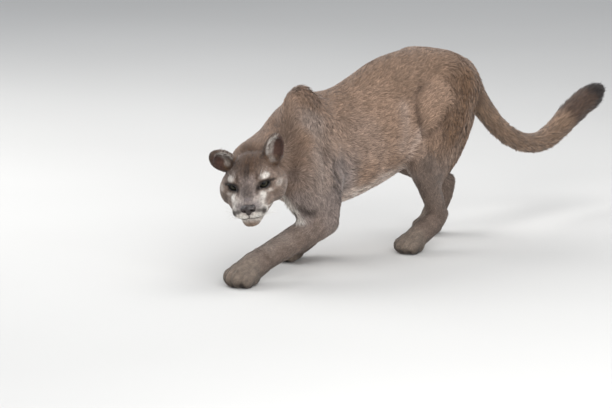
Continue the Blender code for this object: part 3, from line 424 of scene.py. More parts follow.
# Folds and ridges that muscle and loose skin make: how wide each is and how deep it sinks in
# millimetres, the colour its hair takes, how strongly, and the places it runs through.
# That colour is mostly painted shade in the folds, hollows and creases, painted highlight along the
# ridges, and painted shadow round the base of each paw where it meets the floor.
FOLDS_AND_PAINTED_SHADING = (
    # Left side
    (14, 4, "dusk", 0.30, (0.532, 0.053, 0.472), (0.514, 0.058, 0.460), (0.484, 0.054, 0.449)),
    (8, -2, "flank", 0.30, (0.547, 0.049, 0.476), (0.537, 0.066, 0.456), (0.519, 0.074, 0.436)),
    (8, 1, "dusk", 0.45, (0.618, 0.071, 0.394), (0.621, 0.082, 0.369), (0.617, 0.092, 0.349)),
    (16, 5, "dusk", 0.40, (0.618, 0.093, 0.339), (0.629, 0.086, 0.299), (0.633, 0.079, 0.259), (0.633, 0.068, 0.218)),
    (8, -3, "chest", 0.35, (0.549, 0.110, 0.327), (0.559, 0.124, 0.282), (0.568, 0.132, 0.244), (0.575, 0.132, 0.216)),
    (13, 3, "dusk", 0.35, (0.534, 0.110, 0.336), (0.533, 0.116, 0.315)),
    (9, 8, "black", 0.85, (0.507, 0.120, 0.302), (0.508, 0.125, 0.276), (0.500, 0.128, 0.256)),
    (8, 6, "black", 0.70, (0.521, 0.134, 0.241), (0.501, 0.133, 0.222), (0.480, 0.115, 0.205)),
    (11, 4, "black", 0.80, (0.615, 0.094, 0.189), (0.603, 0.108, 0.179), (0.584, 0.123, 0.176)),
    (9, 3, "dusk", 0.20, (0.515, 0.073, 0.436), (0.493, 0.089, 0.389), (0.495, 0.108, 0.339)),
    (9, 8, "dusk", 0.85, (0.136, 0.082, 0.447), (0.162, 0.089, 0.427), (0.173, 0.102, 0.394), (0.181, 0.117, 0.356),
     (0.185, 0.129, 0.326)),
    (8, -3, "cream", 0.35, (0.188, 0.122, 0.340), (0.202, 0.120, 0.308), (0.215, 0.106, 0.272)),
    (10, 5, "dusk", 0.60, (0.164, 0.138, 0.332), (0.128, 0.141, 0.353), (0.081, 0.137, 0.377)),
    (10, 3, "dusk", 0.15, (0.096, 0.074, 0.475), (0.110, 0.084, 0.455)),
    (10, 3, "dusk", 0.15, (0.029, 0.077, 0.506), (0.013, 0.099, 0.471)),
    (17, 2, "dusk", 0.55, (0.201, 0.111, 0.258), (0.175, 0.102, 0.218), (0.135, 0.083, 0.170)),
    (20, -3, "chest", 0.30, (0.221, 0.092, 0.398), (0.225, 0.104, 0.346), (0.240, 0.103, 0.299)),
    (10, -3, "white", 0.85, (0.636, 0.060, 0.220), (0.629, 0.077, 0.190), (0.621, 0.090, 0.168), (0.612, 0.100, 0.150)),
    (13, 0, "dusk", 0.50, (-0.160, 0.018, 0.430), (-0.180, 0.005, 0.370)),
    (34, 0, "warm", 0.75, (-0.035, 0.095, 0.465), (-0.020, 0.105, 0.415), (0.020, 0.125, 0.360), (0.070, 0.135, 0.320)),
    # Painted shadow in dark rings round the bases of the left paws, and painted shade in the crease above the left
    # forepaw
    (11, 0, "black", 0.60, (0.850, 0.060, 0.008), (0.850, 0.095, 0.008), (0.790, 0.125, 0.010), (0.760, 0.110, 0.012)),
    (9, 1.5, "dusk", 0.35, (0.752, 0.052, 0.078), (0.745, 0.080, 0.086), (0.735, 0.108, 0.070)),
    (11, 0, "black", 0.60, (0.200, 0.055, 0.008), (0.200, 0.090, 0.008), (0.140, 0.112, 0.010), (0.070, 0.100, 0.012)),
    # Right side
    # Painted shadow in dark rings round the bases of the right paws
    (11, 0, "black", 0.60, (0.512, -0.070, 0.008), (0.512, -0.110, 0.008), (0.450, -0.132, 0.010)),
    (11, 0, "black", 0.60, (-0.030, -0.065, 0.008), (-0.030, -0.105, 0.008), (-0.090, -0.125, 0.010)),
    (14, 4, "dusk", 0.30, (0.430, -0.085, 0.440), (0.405, -0.080, 0.425), (0.380, -0.075, 0.420)),
    (16, 5, "dusk", 0.40, (0.560, -0.105, 0.330), (0.565, -0.100, 0.290), (0.560, -0.090, 0.250)),
    (8, 6, "black", 0.60, (0.300, -0.118, 0.340), (0.292, -0.122, 0.310), (0.290, -0.122, 0.280)),
    (34, 0, "warm", 0.75, (-0.110, -0.095, 0.455), (-0.110, -0.110, 0.400), (-0.080, -0.125, 0.340)),
    (9, 8, "dusk", 0.80, (0.030, -0.092, 0.450), (0.055, -0.105, 0.415), (0.066, -0.118, 0.375), (0.070, -0.125, 0.330)),
    (20, -3, "chest", 0.30, (0.130, -0.100, 0.390), (0.135, -0.108, 0.345), (0.150, -0.106, 0.300)),
)


def near_forms(spots, form):
    """How strongly a fold shows at these places, from 0 to 1."""
    width, _, _, _, *line = form
    gaps = []
    for start, end in zip(np.array(line), np.array(line[1:])):
        along = np.clip((spots - start) @ (end - start) / ((end - start) ** 2).sum(), 0, 1)
        gaps.append(np.linalg.norm(spots - start - np.outer(along, end - start), axis=1))
    return np.exp(-((np.min(gaps, axis=0) * 1000 / width) ** 2))


def mixed(values, others, share):
    return values + (others - values) * share[:, None]


def coat_values(spots):
    """The same with the ears' own hair and the marks of the face."""
    values = in_chunks(from_comb, spots)
    for side, origin, axes in ear_frames:
        x, y, z = ((spots - origin) @ axes).T
        share = smooth_step(0.006, 0.018, z) * (np.abs(y) < 0.036) * (np.abs(x) < 0.030)
        inward = (np.stack([x, y, z], axis=1) - EAR_HOLLOW_PLACE) / EAR_HOLLOW
        inside = 1 - smooth_step(1.05, 1.2, np.linalg.norm(inward, axis=1))
        fringe = inside * smooth_step(-0.004, 0.012, -side * y)
        ways = axes[:, 2] + np.outer(0.5 * inside * side, axes[:, 1])
        hair = np.stack([0.006 + 0.010 * fringe, 0.0006 + 0.004 * fringe], axis=1)
        shades = mixed(np.outer(np.ones(len(x)), linear(COLOURS["ear_back"])), linear(COLOURS["ear_deep"]), inside)
        shades = mixed(shades, linear(COLOURS["ear_hair"]), fringe)
        values = mixed(values, np.hstack([ways, hair, shades]), share)
    # Painted shade into the hair of folds and creases, painted highlight onto ridges, painted shadow round the paws
    for form in FOLDS_AND_PAINTED_SHADING:
        values[:, 5:8] = mixed(values[:, 5:8], linear(COLOURS[form[2]]), form[3] * near_forms(spots, form))
    forward, left, up = in_head(spots).T
    left = left + EYES_ASIDE * near_eyes(spots)
    for mark_forward, mark_out, mark_up, *reach, colour, strength in FACE_MARKS:
        gap = np.stack([forward - mark_forward, np.abs(left) - mark_out, up - mark_up]) * 1000
        gap = np.linalg.norm(gap / np.array(reach)[:, None], axis=0)
        values[:, 5:8] = mixed(values[:, 5:8], linear(COLOURS[colour]), strength * np.exp(-(gap**4)))
    return values


def places(piece):
    flat = np.empty(len(piece.data.vertices) * 3)
    piece.data.vertices.foreach_get("co", flat)
    return flat.reshape(-1, 3)


def outward(piece):
    flat = np.empty(len(piece.data.vertices) * 3)
    piece.data.vertices.foreach_get("normal", flat)
    return flat.reshape(-1, 3)


def in_head(spots):
    """Places as the head has them: forward of the eyes, to the left of them, above them."""
    return (spots - HEAD_ORIGIN) @ HEAD_AXES


# The hide sinks by the depth of its coat and into its folds, and eases where that has bunched it
spots = places(skin)
depths = coat_values(spots)[:, 4]
for form in FOLDS_AND_PAINTED_SHADING:
    depths += form[1] / 1000 * near_forms(spots, form)
spots -= outward(skin) * depths[:, None]
spots -= np.outer(EYES_ASIDE * near_eyes(spots) * (in_head(spots)[:, 0] > -0.04), HEAD_AXES[:, 1])
skin.data.vertices.foreach_set("co", spots.ravel())
alone(skin)
away_from_head = skin.vertex_groups.new(name="body")
away_from_head.add(np.flatnonzero(in_head(spots)[:, 0] < -0.09).tolist(), 1.0, "REPLACE")
apply("SMOOTH", factor=0.5, iterations=3, vertex_group="body")

# COLOUR OF THE COAT
# Tawny grey-brown, darker along the back, cream below, near black at the tail's tip.
# Fine clouds of lighter and darker hair break it up.
rng = np.random.default_rng(7)


def clouds(spots, size, seed, waves=7):
    """Soft noise between about -1 and 1, with patches of this size in metres."""
    draw = np.random.default_rng(seed)
    total = 0
    for _ in range(waves):
        way = draw.normal(size=3)
        way /= np.linalg.norm(way)
        pitch = size * draw.uniform(0.7, 1.6)
        bend = np.sin(spots @ np.roll(way, 1) / (pitch * 1.7) + draw.uniform(0, 6.3))
        total = total + np.sin(spots @ way * 2 * math.pi / pitch + draw.uniform(0, 6.3) + 1.5 * bend)
    return total / math.sqrt(waves)


# On the head the patches are drawn out along the hair: forward, across, up
HEAD_STREAKS = (0.30, 1.0, 0.65)
# Behind the elbows the hair bunches into short clumps that slant down and back over the ribs
CLUMP_WAY = np.array((-0.77, 0.0, -0.63))
CLUMP_MIDDLE, CLUMP_REACH = (0.40, 0.0, 0.26), (0.13, 1.0, 0.085)


def coat_colour(spots, base):
    head_spots = in_head(spots)
    head_share = 1 - smooth_step(0.10, 0.14, np.linalg.norm(head_spots, axis=1))
    mottle = 0.06 * clouds(spots, 0.060, 1) + 0.07 * clouds(spots, 0.014, 2) + 0.05 * clouds(spots, 0.007, 9)
    mottle += 0.16 * head_share * clouds(head_spots * HEAD_STREAKS, 0.0065, 8)
    clump_share = np.exp(-(((spots - CLUMP_MIDDLE) / CLUMP_REACH) ** 2).sum(axis=1))
    drawn_out = spots - 0.78 * np.outer(spots @ CLUMP_WAY, CLUMP_WAY)
    mottle += 0.20 * clump_share * clouds(drawn_out, 0.011, 12)
    return np.clip(base * (1 + mottle)[:, None], 0.002, 0.9)


def paint(piece, colours):
    layer = piece.data.color_attributes.new("shade", "FLOAT_COLOR", "POINT")
    flat = np.ones((len(colours), 4))
    flat[:, :3] = colours
    layer.data.foreach_set("color", flat.ravel())


class Wire:
    """A socket of a material, with arithmetic that adds its nodes."""

    def __init__(self, tree, socket):
        self.tree, self.socket = tree, socket

    def node(self, kind, out=0, settings=None, **values):
        made = self.tree.nodes.new(kind)
        for name, value in (settings or {}).items():
            if name == "stops":
                for place, colour in value[:-2]:
                    made.color_ramp.elements.new(place)
                for element, (place, colour) in zip(made.color_ramp.elements, value):
                    element.position, element.color = place, (*colour, 1)
            else:
                setattr(made, name, value)
        for name, value in values.items():
            place = int(name[1:]) if name[1:].isdigit() and name[0] == "i" else name.replace("_", " ")
            if isinstance(value, Wire):
                self.tree.links.new(value.socket, made.inputs[place])
            else:
                made.inputs[place].default_value = value
        return Wire(self.tree, made.outputs[out])

    def maths(self, operation, *others):
        values = {f"i{n}": value for n, value in enumerate(others)}
        return self.node("ShaderNodeMath", settings={"operation": operation}, **values)

    def __add__(self, other):
        return self.maths("ADD", self, other)

    def __radd__(self, other):
        return self.maths("ADD", other, self)

    def __sub__(self, other):
        return self.maths("SUBTRACT", self, other)

    def __rsub__(self, other):
        return self.maths("SUBTRACT", other, self)

    def __mul__(self, other):
        return self.maths("MULTIPLY", self, other)

    def __rmul__(self, other):
        return self.maths("MULTIPLY", other, self)


def material(name, **settings):
    """A new material, its surface shader with these settings, and a wire to build its nodes from."""
    made = bpy.data.materials.new(name)
    made.use_nodes = True
    surface = made.node_tree.nodes["Principled BSDF"]
    for socket, value in settings.items():
        surface.inputs[socket.replace("_", " ")].default_value = value
    return made, surface, Wire(made.node_tree, None)


def feed(surface, socket, wire):
    wire.tree.links.new(wire.socket, surface.inputs[socket])


def pitted(surface, height, depth, strength):
    """Bump on the surface, this many metres deep where the height is 1."""
    bump = height.node("ShaderNodeBump", Height=height, Distance=depth, Strength=strength)
    feed(surface, "Normal", bump)


fur, surface, wire = material("fur", Sheen_Weight=0.2, Sheen_Roughness=0.5, Specular_IOR_Level=0.22)
here = wire.node("ShaderNodeTexCoord", out=3)
shade = wire.node("ShaderNodeAttribute", settings={"attribute_name": "shade"})
grain = wire.node("ShaderNodeTexNoise", Vector=here, Scale=420.0, Detail=2.0)
feed(surface, "Roughness", 0.55 + 0.3 * grain)
feed(surface, "Base Color", shade)
pitted(surface, grain, 0.0006, 0.5)

hide_colour = coat_values(spots)[:, 5:8]
paint(skin, coat_colour(spots, hide_colour) * 0.72)
skin.data.materials.clear()
skin.data.materials.append(fur)

# HAIR
# Several hundred thousand tufts, each a flat blade of a few hairs that tapers to a point.
# They root in the hide, lie along the combed lines and overlap like thatch, out to the solids' outline.
TUFT_COUNT = 460000
TUFT_WIDTH = 0.00150

alone(skin)
bpy.ops.object.mode_set(mode="EDIT")
bpy.ops.mesh.select_all(action="SELECT")
bpy.ops.uv.smart_project(angle_limit=math.radians(66), island_margin=0.002)
bpy.ops.object.mode_set(mode="OBJECT")
skin.data.uv_layers[0].name = "OFBake"

hide_mesh = skin.data
hide_mesh.calc_loop_triangles()
corner_count = len(hide_mesh.loop_triangles)
triangles = np.empty(corner_count * 3, int)
hide_mesh.loop_triangles.foreach_get("vertices", triangles)
triangles = triangles.reshape(-1, 3)
corners = np.empty(corner_count * 3, int)
hide_mesh.loop_triangles.foreach_get("loops", corners)
corners = corners.reshape(-1, 3)
chart = np.empty(len(hide_mesh.loops) * 2)
hide_mesh.uv_layers["OFBake"].data.foreach_get("uv", chart)
chart = chart.reshape(-1, 2)
spots, normals = places(skin), outward(skin)
one, two, three = (spots[triangles[:, k]] for k in range(3))
areas = np.linalg.norm(np.cross(two - one, three - one), axis=1) / 2
centres = (one + two + three) / 3
growth = coat_values(centres)
# Short hair is finer and grows closer
crowding = areas / np.clip(growth[:, 3], 0.006, 0.03) ** 1.1
chosen = rng.choice(len(areas), TUFT_COUNT, p=crowding / crowding.sum())
mix = rng.dirichlet((1, 1, 1), TUFT_COUNT)


def at_roots(values, index):
    return sum(values[index[chosen, k]] * mix[:, k : k + 1] for k in range(3))


roots = at_roots(spots, triangles)
ups = at_roots(normals, triangles)
ups /= np.linalg.norm(ups, axis=1, keepdims=True)
root_chart = at_roots(chart, corners)
grown = coat_values(roots)
lies, lengths, depths, colours = grown[:, :3], grown[:, 3], grown[:, 4], grown[:, 5:8]


def unit(ways):
    return ways / np.maximum(np.linalg.norm(ways, axis=1, keepdims=True), 1e-9)


def flattened(ways, ups):
    return unit(ways - (ways * ups).sum(axis=1, keepdims=True) * ups)


# On the face the hair streams away from the nose
NOSE_TIP = (0.085, 0.0, -0.036)
on_face = in_head(roots)
stream = (on_face - NOSE_TIP) @ HEAD_AXES.T
face_share = smooth_step(-0.10, -0.06, on_face[:, 0]) * (np.linalg.norm(on_face, axis=1) < 0.17)
lies = unit(lies) * (1 - face_share[:, None]) + unit(stream) * face_share[:, None]
lies = flattened(lies, ups)
across = np.cross(lies, ups)
swirl = 0.22 * clouds(roots, 0.030, 3) + 0.16 * clouds(roots, 0.009, 4) + rng.normal(0, 0.13, TUFT_COUNT)
lies = lies * np.cos(swirl)[:, None] + across * np.sin(swirl)[:, None]
across = np.cross(lies, ups)
rolls = rng.normal(0, 0.55, TUFT_COUNT)[:, None]
flats = across * np.cos(rolls) + ups * np.sin(rolls)
lengths = lengths * rng.uniform(0.6, 1.05, TUFT_COUNT) * (1 + 0.10 * clouds(roots, 0.012, 5))
widths = TUFT_WIDTH * np.clip(lengths / 0.020, 0.38, 1.35) * rng.uniform(0.7, 1.25, TUFT_COUNT)
lifts = depths * rng.uniform(0.55, 1.05, TUFT_COUNT)

HIDDEN_ROOT = 0.0005
shapes = np.empty((TUFT_COUNT, 5, 3))
half = flats * widths[:, None] / 2
middle = roots + lies * lengths[:, None] * 0.42 + ups * lifts[:, None] * 0.72
base = roots - ups * HIDDEN_ROOT
shapes[:, 0], shapes[:, 1] = base - half, base + half
shapes[:, 2], shapes[:, 3] = middle + half * 0.9, middle - half * 0.9
shapes[:, 4] = roots + lies * lengths[:, None] + ups * lifts[:, None]
# No hair reaches under the floor that the paws stand on
shapes[:, :, 2] = np.maximum(shapes[:, :, 2], 0)
blade = np.cross(flats, lies)
blade *= np.sign((blade * ups).sum(axis=1, keepdims=True) + 1e-9)
soft = unit(0.62 * ups + 0.38 * blade + rng.normal(0, 0.10, (TUFT_COUNT, 3)))

tones = coat_colour(roots, colours) * np.clip(rng.normal(1, 0.22, TUFT_COUNT), 0.4, 1.7)[:, None]
draw = rng.random(TUFT_COUNT)
tips = np.where(draw < 0.25, 0.38, np.where(draw > 0.75, 1.75, 1.12))
stages = np.stack([np.full(TUFT_COUNT, 0.52)] * 2 + [np.full(TUFT_COUNT, 0.95)] * 2 + [tips], axis=1)
tuft_colours = np.clip(tones[:, None, :] * stages[:, :, None], 0.002, 0.95)
PATCH = 0.003
patch = np.array([(-0.5, -0.5), (0.5, -0.5), (0.3, 0.0), (-0.3, 0.0), (0.0, 0.5)]) * PATCH
tuft_chart = root_chart[:, None, :] + patch[None]

# Each eye's middle, and its axes: the way it faces, toward its outer corner, and up
EYE_TURN = math.radians(16)
BARE_LID = (0.0150, 0.0088)
eye_frames = []
for name, side in (("left", 1), ("right", -1)):
    low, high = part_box("eye_" + name)
    turn = np.array(Matrix.Rotation(side * EYE_TURN, 3, "Z"))
    middle = np.array((low + high) / 2) - EYES_ASIDE * HEAD_AXES[:, 1]
    eye_frames.append((name, middle, HEAD_AXES @ turn @ np.diag((1, side, 1))))
bare = np.zeros(TUFT_COUNT, bool)
for name, middle, axes in eye_frames:
    ahead, out, up = ((roots - middle) @ axes).T
    near = np.linalg.norm(roots - middle, axis=1) < 0.024
    bare |= near & (ahead > 0) & ((out / BARE_LID[0]) ** 2 + (up / BARE_LID[1]) ** 2 < 1)
nose_clay = merged(["nose"])
nose_surface = BVHTree.FromBMesh(nose_clay)
nose_clay.free()
low, high = (np.array(corner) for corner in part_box("nose"))
for at in np.flatnonzero(((roots > low - 0.004) & (roots < high + 0.004)).all(axis=1)):
    bare[at] |= nose_surface.find_nearest(Vector(roots[at]))[3] < 0.0016
bare |= roots[:, 2] < 0.003
growing = np.flatnonzero(~bare)


def blades(name, index):
    """One joined piece of the coat."""
    count = len(index)
    mesh = bpy.data.meshes.new(name)
    mesh.vertices.add(count * 5)
    mesh.vertices.foreach_set("co", shapes[index].ravel())
    corner = np.array([0, 1, 2, 3, 3, 2, 4])
    loops = (np.arange(count)[:, None] * 5 + corner).ravel()
    mesh.loops.add(len(loops))
    mesh.loops.foreach_set("vertex_index", loops)
    starts = (np.arange(count)[:, None] * 7 + np.array([0, 4])).ravel()
    mesh.polygons.add(count * 2)
    mesh.polygons.foreach_set("loop_start", starts)
    mesh.update(calc_edges=True)
    layer = mesh.uv_layers.new(name="OFBake")
    layer.data.foreach_set("uv", tuft_chart[index][:, corner].ravel())
    mesh.polygons.foreach_set("use_smooth", np.ones(count * 2, bool))
    mesh.normals_split_custom_set_from_vertices(np.repeat(soft[index], 5, axis=0))
    made = bpy.data.objects.new(name, mesh)
    bpy.context.scene.collection.objects.link(made)
    paint(made, tuft_colours[index].reshape(-1, 3))
    mesh.materials.append(fur)
    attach(made, "root")
    return made


REGIONS = (
    ("coat_head", lambda r: np.linalg.norm(in_head(r) - (-0.02, 0, 0), axis=1) < 0.125),
    ("coat_tail", lambda r: r[:, 0] < -0.135),
    ("coat_foreleg_left", lambda r: (r[:, 2] < 0.14) & (r[:, 0] > 0.26) & (r[:, 1] >= 0)),
    ("coat_foreleg_right", lambda r: (r[:, 2] < 0.14) & (r[:, 0] > 0.26)),
    ("coat_hindleg_left", lambda r: (r[:, 2] < 0.20) & (r[:, 0] <= 0.26) & (r[:, 1] >= 0)),
    ("coat_hindleg_right", lambda r: (r[:, 2] < 0.20) & (r[:, 0] <= 0.26)),
    ("coat_neck", lambda r: r[:, 0] > 0.60),
    ("coat_shoulder_left", lambda r: (r[:, 0] > 0.44) & (r[:, 1] >= 0)),
    ("coat_shoulder_right", lambda r: r[:, 0] > 0.44),
    ("coat_rump_left", lambda r: (r[:, 0] < 0.16) & (r[:, 1] >= 0)),
    ("coat_rump_right", lambda r: r[:, 0] < 0.16),
    ("coat_flank_left", lambda r: r[:, 1] >= 0),
    ("coat_flank_right", lambda r: r[:, 1] < 0),
)
left = growing
for name, here in REGIONS:
    inside = here(roots[left])
    blades(name, left[inside])
    left = left[~inside]

# EYES
# Each eye is a ball with a clear bulging front, a grey-green iris and a round black pupil.
# It looks up past the brow, straight ahead of the stalking cat's path.
EYE_RADIUS = 0.016
CORNEA_BULGE = 0.0007
wet, surface, wire = material("wet_eye", Roughness=0.4, Specular_IOR_Level=0.05, Coat_Weight=0.25, Coat_Roughness=0.02)
ball = wire.node("ShaderNodeAttribute", out=1, settings={"attribute_name": "ball"})
facing = wire.node("ShaderNodeVectorMath", settings={"operation": "MULTIPLY"}, i0=ball, i1=(1, 1, 0))
ring = wire.node("ShaderNodeVectorMath", out=1, settings={"operation": "LENGTH"}, i0=facing)
spokes = wire.node("ShaderNodeVectorMath", settings={"operation": "NORMALIZE"}, i0=facing)
threads = wire.node("ShaderNodeTexNoise", Vector=spokes, Scale=7.0, Detail=3.0)
iris = [(0.0, (0.002, 0.002, 0.002)), (0.34, (0.002, 0.002, 0.002)), (0.38, (0.026, 0.023, 0.013)),
        (0.48, (0.050, 0.047, 0.030)), (0.60, (0.030, 0.028, 0.019)), (0.68, (0.005, 0.0045, 0.004)),
        (0.85, (0.010, 0.007, 0.006))]
tone = wire.node("ShaderNodeValToRGB", settings={"stops": iris}, Fac=ring)
depth = wire.node("ShaderNodeMix", out=2, settings={"data_type": "RGBA", "blend_type": "MULTIPLY"},
                  i0=0.6, i6=tone, i7=threads)
feed(surface, "Base Color", depth)
for name, middle, axes in eye_frames:
    bpy.ops.object.select_all(action="DESELECT")
    bpy.ops.mesh.primitive_uv_sphere_add(segments=56, ring_count=36, radius=EYE_RADIUS)
    eyeball = bpy.context.object
    eyeball.name = "eyeball_" + name
    around = places(eyeball) / EYE_RADIUS
    bulge = CORNEA_BULGE * smooth_step(0.55, 0.95, around[:, 2])
    gaze_axes = np.array(facing_lens.to_matrix())
    spots = middle + (around * (EYE_RADIUS + bulge)[:, None]) @ gaze_axes.T
    eyeball.data.vertices.foreach_set("co", spots.ravel())
    layer = eyeball.data.attributes.new("ball", "FLOAT_VECTOR", "POINT")
    layer.data.foreach_set("vector", around.ravel())
    bpy.ops.object.shade_smooth()
    eyeball.data.materials.append(wet)
    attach(eyeball, "root")
    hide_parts("eye_" + name)

# EYELIDS
# Bare black skin rims each eye, thick at the edge and drawn out to a point at both corners.
# The rim turns in to the ball and runs out under the fur.
LID_EDGE = np.array(((-0.0140, -0.0052), (-0.0105, 0.0008), (-0.0050, 0.0058), (0.0020, 0.0078), (0.0085, 0.0068),
                     (0.0150, 0.0032), (0.0110, -0.0025), (0.0050, -0.0062), (-0.0020, -0.0078), (-0.0090, -0.0078)))
LID_SPHERE = 0.0170
# Each ring: how far it spreads from the edge of the opening, and how far it is from the ball's middle
LID_RINGS = ((0.95, 0.0155), (0.98, 0.0168), (1.03, 0.0184), (1.10, 0.0195), (1.20, 0.0196), (1.32, 0.0190),
             (1.42, 0.0176))
LID_STEPS = 4
rim, surface, wire = material("bare_rim", Base_Color=(0.011, 0.0085, 0.0075, 1), Specular_IOR_Level=0.4)
here = wire.node("ShaderNodeTexCoord", out=3)
creases = wire.node("ShaderNodeTexNoise", Vector=here, Scale=900.0, Detail=3.0)
feed(surface, "Roughness", 0.28 + 0.35 * creases)
pitted(surface, creases, 0.0004, 0.6)
knots = len(LID_EDGE)
steps = np.arange(knots * LID_STEPS) / LID_STEPS
low = steps.astype(int)
share = (steps - low)[:, None]
before, start, end, after = (LID_EDGE[(low + k) % knots] for k in (-1, 0, 1, 2))
edge = 0.5 * (2 * start + (end - before) * share + (2 * before - 5 * start + 4 * end - after) * share**2
              + (3 * start - before - 3 * end + after) * share**3)
reach = np.linalg.norm(edge, axis=1)
spread = np.arcsin(np.clip(reach / LID_SPHERE, 0, 0.96))
for name, middle, axes in eye_frames:
    bpy.ops.object.select_all(action="DESELECT")
    bpy.ops.mesh.primitive_circle_add(vertices=len(edge), radius=1)
    lid = bpy.context.object
    lid.name = "eyelid_" + name
    bpy.ops.object.mode_set(mode="EDIT")
    for _ in LID_RINGS[1:]:
        bpy.ops.mesh.extrude_region()
        bpy.ops.transform.resize(value=(1.2, 1.2, 1.2))
    bpy.ops.object.mode_set(mode="OBJECT")
    rings = []
    for widening, radius in LID_RINGS:
        angle = spread * widening
        sideways = edge / reach[:, None] * (radius * np.sin(angle))[:, None]
        rings.append(np.column_stack([radius * np.cos(angle), sideways]))
    spots = middle + np.vstack(rings) @ axes.T
    lid.data.vertices.foreach_set("co", spots.ravel())
    alone(lid)
    bpy.ops.object.mode_set(mode="EDIT")
    bpy.ops.mesh.select_all(action="SELECT")
    bpy.ops.mesh.normals_make_consistent(inside=False)
    bpy.ops.object.mode_set(mode="OBJECT")
    facing_out = sum(float(face.normal @ Vector(axes[:, 0])) for face in lid.data.polygons)
    if facing_out < 0:
        lid.data.flip_normals()
    apply("SUBSURF", levels=1, render_levels=1)
    bpy.ops.object.shade_smooth()
    lid.data.materials.append(rim)
    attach(lid, "root")

# NOSE
# Bare damp leather between the nostrils, pebbled, with a groove down its middle to the lip.
NOSE_GRAIN = 0.0008
# Each dent: out, up, how wide and how high it is, and how deep it goes
NOSE_DENTS = (
    (0.0085, -0.0350, 0.0032, 0.0024, 0.0050),
    (0.0128, -0.0330, 0.0026, 0.0014, 0.0022),
    (0.0000, -0.0440, 0.0010, 0.0090, 0.0014),
)
leather, surface, wire = material("nose_leather", Specular_IOR_Level=0.45, Coat_Weight=0.15)
here = wire.node("ShaderNodeTexCoord", out=3)
pebbles = wire.node("ShaderNodeTexVoronoi", Vector=here, Scale=900.0)
stain = wire.node("ShaderNodeTexNoise", Vector=here, Scale=140.0, Detail=3.0)
feed(surface, "Roughness", 0.34 + 0.25 * stain)
nose_tones = [(0.35, (0.020, 0.014, 0.013)), (0.65, (0.052, 0.038, 0.034))]
feed(surface, "Base Color", wire.node("ShaderNodeValToRGB", settings={"stops": nose_tones}, Fac=stain))
pitted(surface, pebbles, 0.0006, 0.5)
nose = hide("nose_pad", ("nose",), NOSE_GRAIN, 3)
spots = places(nose)
forward, left, up = in_head(spots).T
sunk = sum(
    deep * np.exp(-(((np.abs(left) - out) / wide) ** 2) - ((up - level) / high) ** 2)
    for out, level, wide, high, deep in NOSE_DENTS
)
spots -= np.outer(sunk * smooth_step(0.070, 0.080, forward), HEAD_AXES[:, 0])
nose.data.vertices.foreach_set("co", spots.ravel())
bpy.ops.object.shade_smooth()
nose.data.materials.append(leather)
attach(nose, "root")
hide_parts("nose")

# LIPS
# The closed mouth is a dark line of bare lip, from the groove under the nose back to both corners.
MOUTH_LINE = ((0.088, 0.0, -0.0595), (0.082, 0.012, -0.0625), (0.071, 0.028, -0.063), (0.054, 0.040, -0.0645),
              (0.036, 0.0455, -0.066), (0.020, 0.0495, -0.067))
LIP_RADIUS = 0.0013
skin_clay = bmesh.new()
skin_clay.from_mesh(skin.data)
skin_surface = BVHTree.FromBMesh(skin_clay)
skin_clay.free()


def on_skin(forward, left, up, lift):
    place, normal = skin_surface.find_nearest(Vector(out_of_head(forward, left, up)))[:2]
    return place + normal * lift


def strands(name, lines, radius, finish):
    """Thin round strands through these points, each with its thickness there from 0 to 1."""
    curve = bpy.data.curves.new(name, "CURVE")
    curve.dimensions = "3D"
    curve.bevel_depth = radius
    curve.bevel_resolution = 1
    curve.use_fill_caps = True
    for line in lines:
        strand = curve.splines.new("POLY")
        strand.points.add(len(line) - 1)
        for point, (place, thickness) in zip(strand.points, line):
            point.co = (*place, 1)
            point.radius = thickness
    made = bpy.data.objects.new(name, curve)
    bpy.context.scene.collection.objects.link(made)
    alone(made)
    bpy.ops.object.convert(target="MESH")
    made = bpy.context.object
    bpy.ops.object.shade_smooth()
    made.data.materials.append(finish)
    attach(made, "root")
    return made


mouth = [(f, -out, up) for f, out, up in MOUTH_LINE[:0:-1]] + list(MOUTH_LINE)
mouth_line = []
for start, end in zip(mouth, mouth[1:]):
    for share in np.arange(0, 1, 0.2):
        mouth_line.append(on_skin(*(np.array(start) * (1 - share) + np.array(end) * share), 0.0002))
thickness = np.sin(np.linspace(0.25, math.pi - 0.25, len(mouth_line))) ** 0.4
cleft = [(on_skin(0.090, 0, up, 0.0002), 0.8) for up in np.linspace(-0.046, -0.0595, 6)]
lips = strands("lips", [list(zip(mouth_line, thickness)), cleft], LIP_RADIUS, rim)

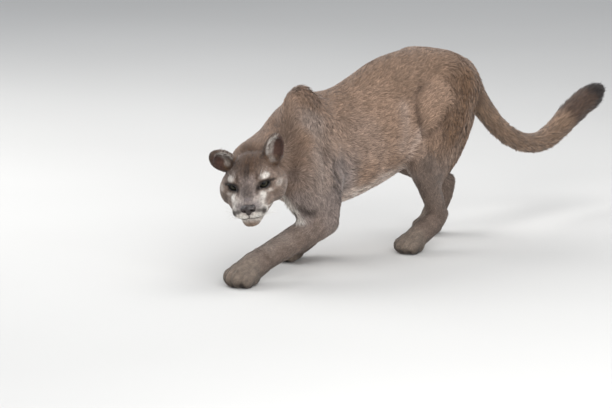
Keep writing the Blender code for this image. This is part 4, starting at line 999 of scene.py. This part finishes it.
# WHISKERS
# Stiff white bristles, in four rows on each side of the muzzle and a few over each eye.
# They taper to nothing and sweep back along the cheeks.
WHISKER_RADIUS = 0.00032
bristle, surface, wire = material("bristle", Roughness=0.35, Specular_IOR_Level=0.5)
here = wire.node("ShaderNodeTexCoord", out=3)
bands = wire.node("ShaderNodeTexNoise", Vector=here, Scale=120.0)
bristle_tones = [(0.3, (0.52, 0.49, 0.45)), (0.7, (0.80, 0.77, 0.72))]
feed(surface, "Base Color", wire.node("ShaderNodeValToRGB", settings={"stops": bristle_tones}, Fac=bands))
draw = np.random.default_rng(11)
bristles = []
for side in (1, -1):
    roots_here = [(0.074 - 0.007 * n, 0.030 + 0.003 * n, -0.042 - 0.0055 * row, 0.045 + 0.006 * n, (-0.80, 0.62, 0.10 - 0.16 * row))
                  for row in range(4) for n in range(4)]
    roots_here += [(0.000, 0.030 + 0.006 * n, 0.021, 0.030, (-0.55, 0.35, 0.75)) for n in range(3)]
    for forward, out, up, length, way in roots_here:
        way = np.array(way) + draw.normal(0, 0.07, 3)
        way /= np.linalg.norm(way)
        root = np.array(in_head(np.array(on_skin(forward, side * out, up, -0.0005))))
        way[1] *= side
        line = []
        for along in np.linspace(0, 1, 9):
            place = root + way * length * along + np.array((-0.3, 0, -0.25)) * length * along**2 * 0.6
            line.append((out_of_head(*place), 1 - 0.93 * along))
        bristles.append(line)
whiskers = strands("whiskers", bristles, WHISKER_RADIUS, bristle)

# FLOOR AND LIGHT
# A plain pale floor and soft light from above, as under an even sky.
bpy.ops.object.select_all(action="DESELECT")
bpy.ops.mesh.primitive_plane_add(size=60, location=(0, 0, 0))
floor = bpy.context.object
floor.name = "floor"
pale, surface, wire = material("pale_floor", Roughness=0.8)
drift = wire.node("ShaderNodeTexNoise", Vector=wire.node("ShaderNodeTexCoord", out=3), Scale=0.6)
floor_tones = [(0.3, (0.60, 0.59, 0.57)), (0.7, (0.64, 0.63, 0.61))]
feed(surface, "Base Color", wire.node("ShaderNodeValToRGB", settings={"stops": floor_tones}, Fac=drift))
floor.data.materials.append(pale)
LAMPS = (((2.2, 3.4, 2.3), 150, 3.0), ((-1.4, 0.4, 3.8), 70, 2.6), ((1.0, -2.8, 2.4), 95, 3.0))
for place, energy, size in LAMPS:
    bpy.ops.object.light_add(type="AREA", location=place)
    lamp = bpy.context.object
    lamp.data.energy, lamp.data.size = energy, size
    lamp.rotation_euler = (Vector(place) - Vector((0.1, 0, 0.25))).to_track_quat("Z", "Y").to_euler()
world = bpy.context.scene.world or bpy.data.worlds.new("sky")
bpy.context.scene.world = world
world.use_nodes = True
sky = world.node_tree.nodes["Background"]
sky.inputs["Color"].default_value = (0.86, 0.90, 0.96, 1)
sky.inputs["Strength"].default_value = 0.55
bpy.context.scene.view_settings.view_transform = "Standard"
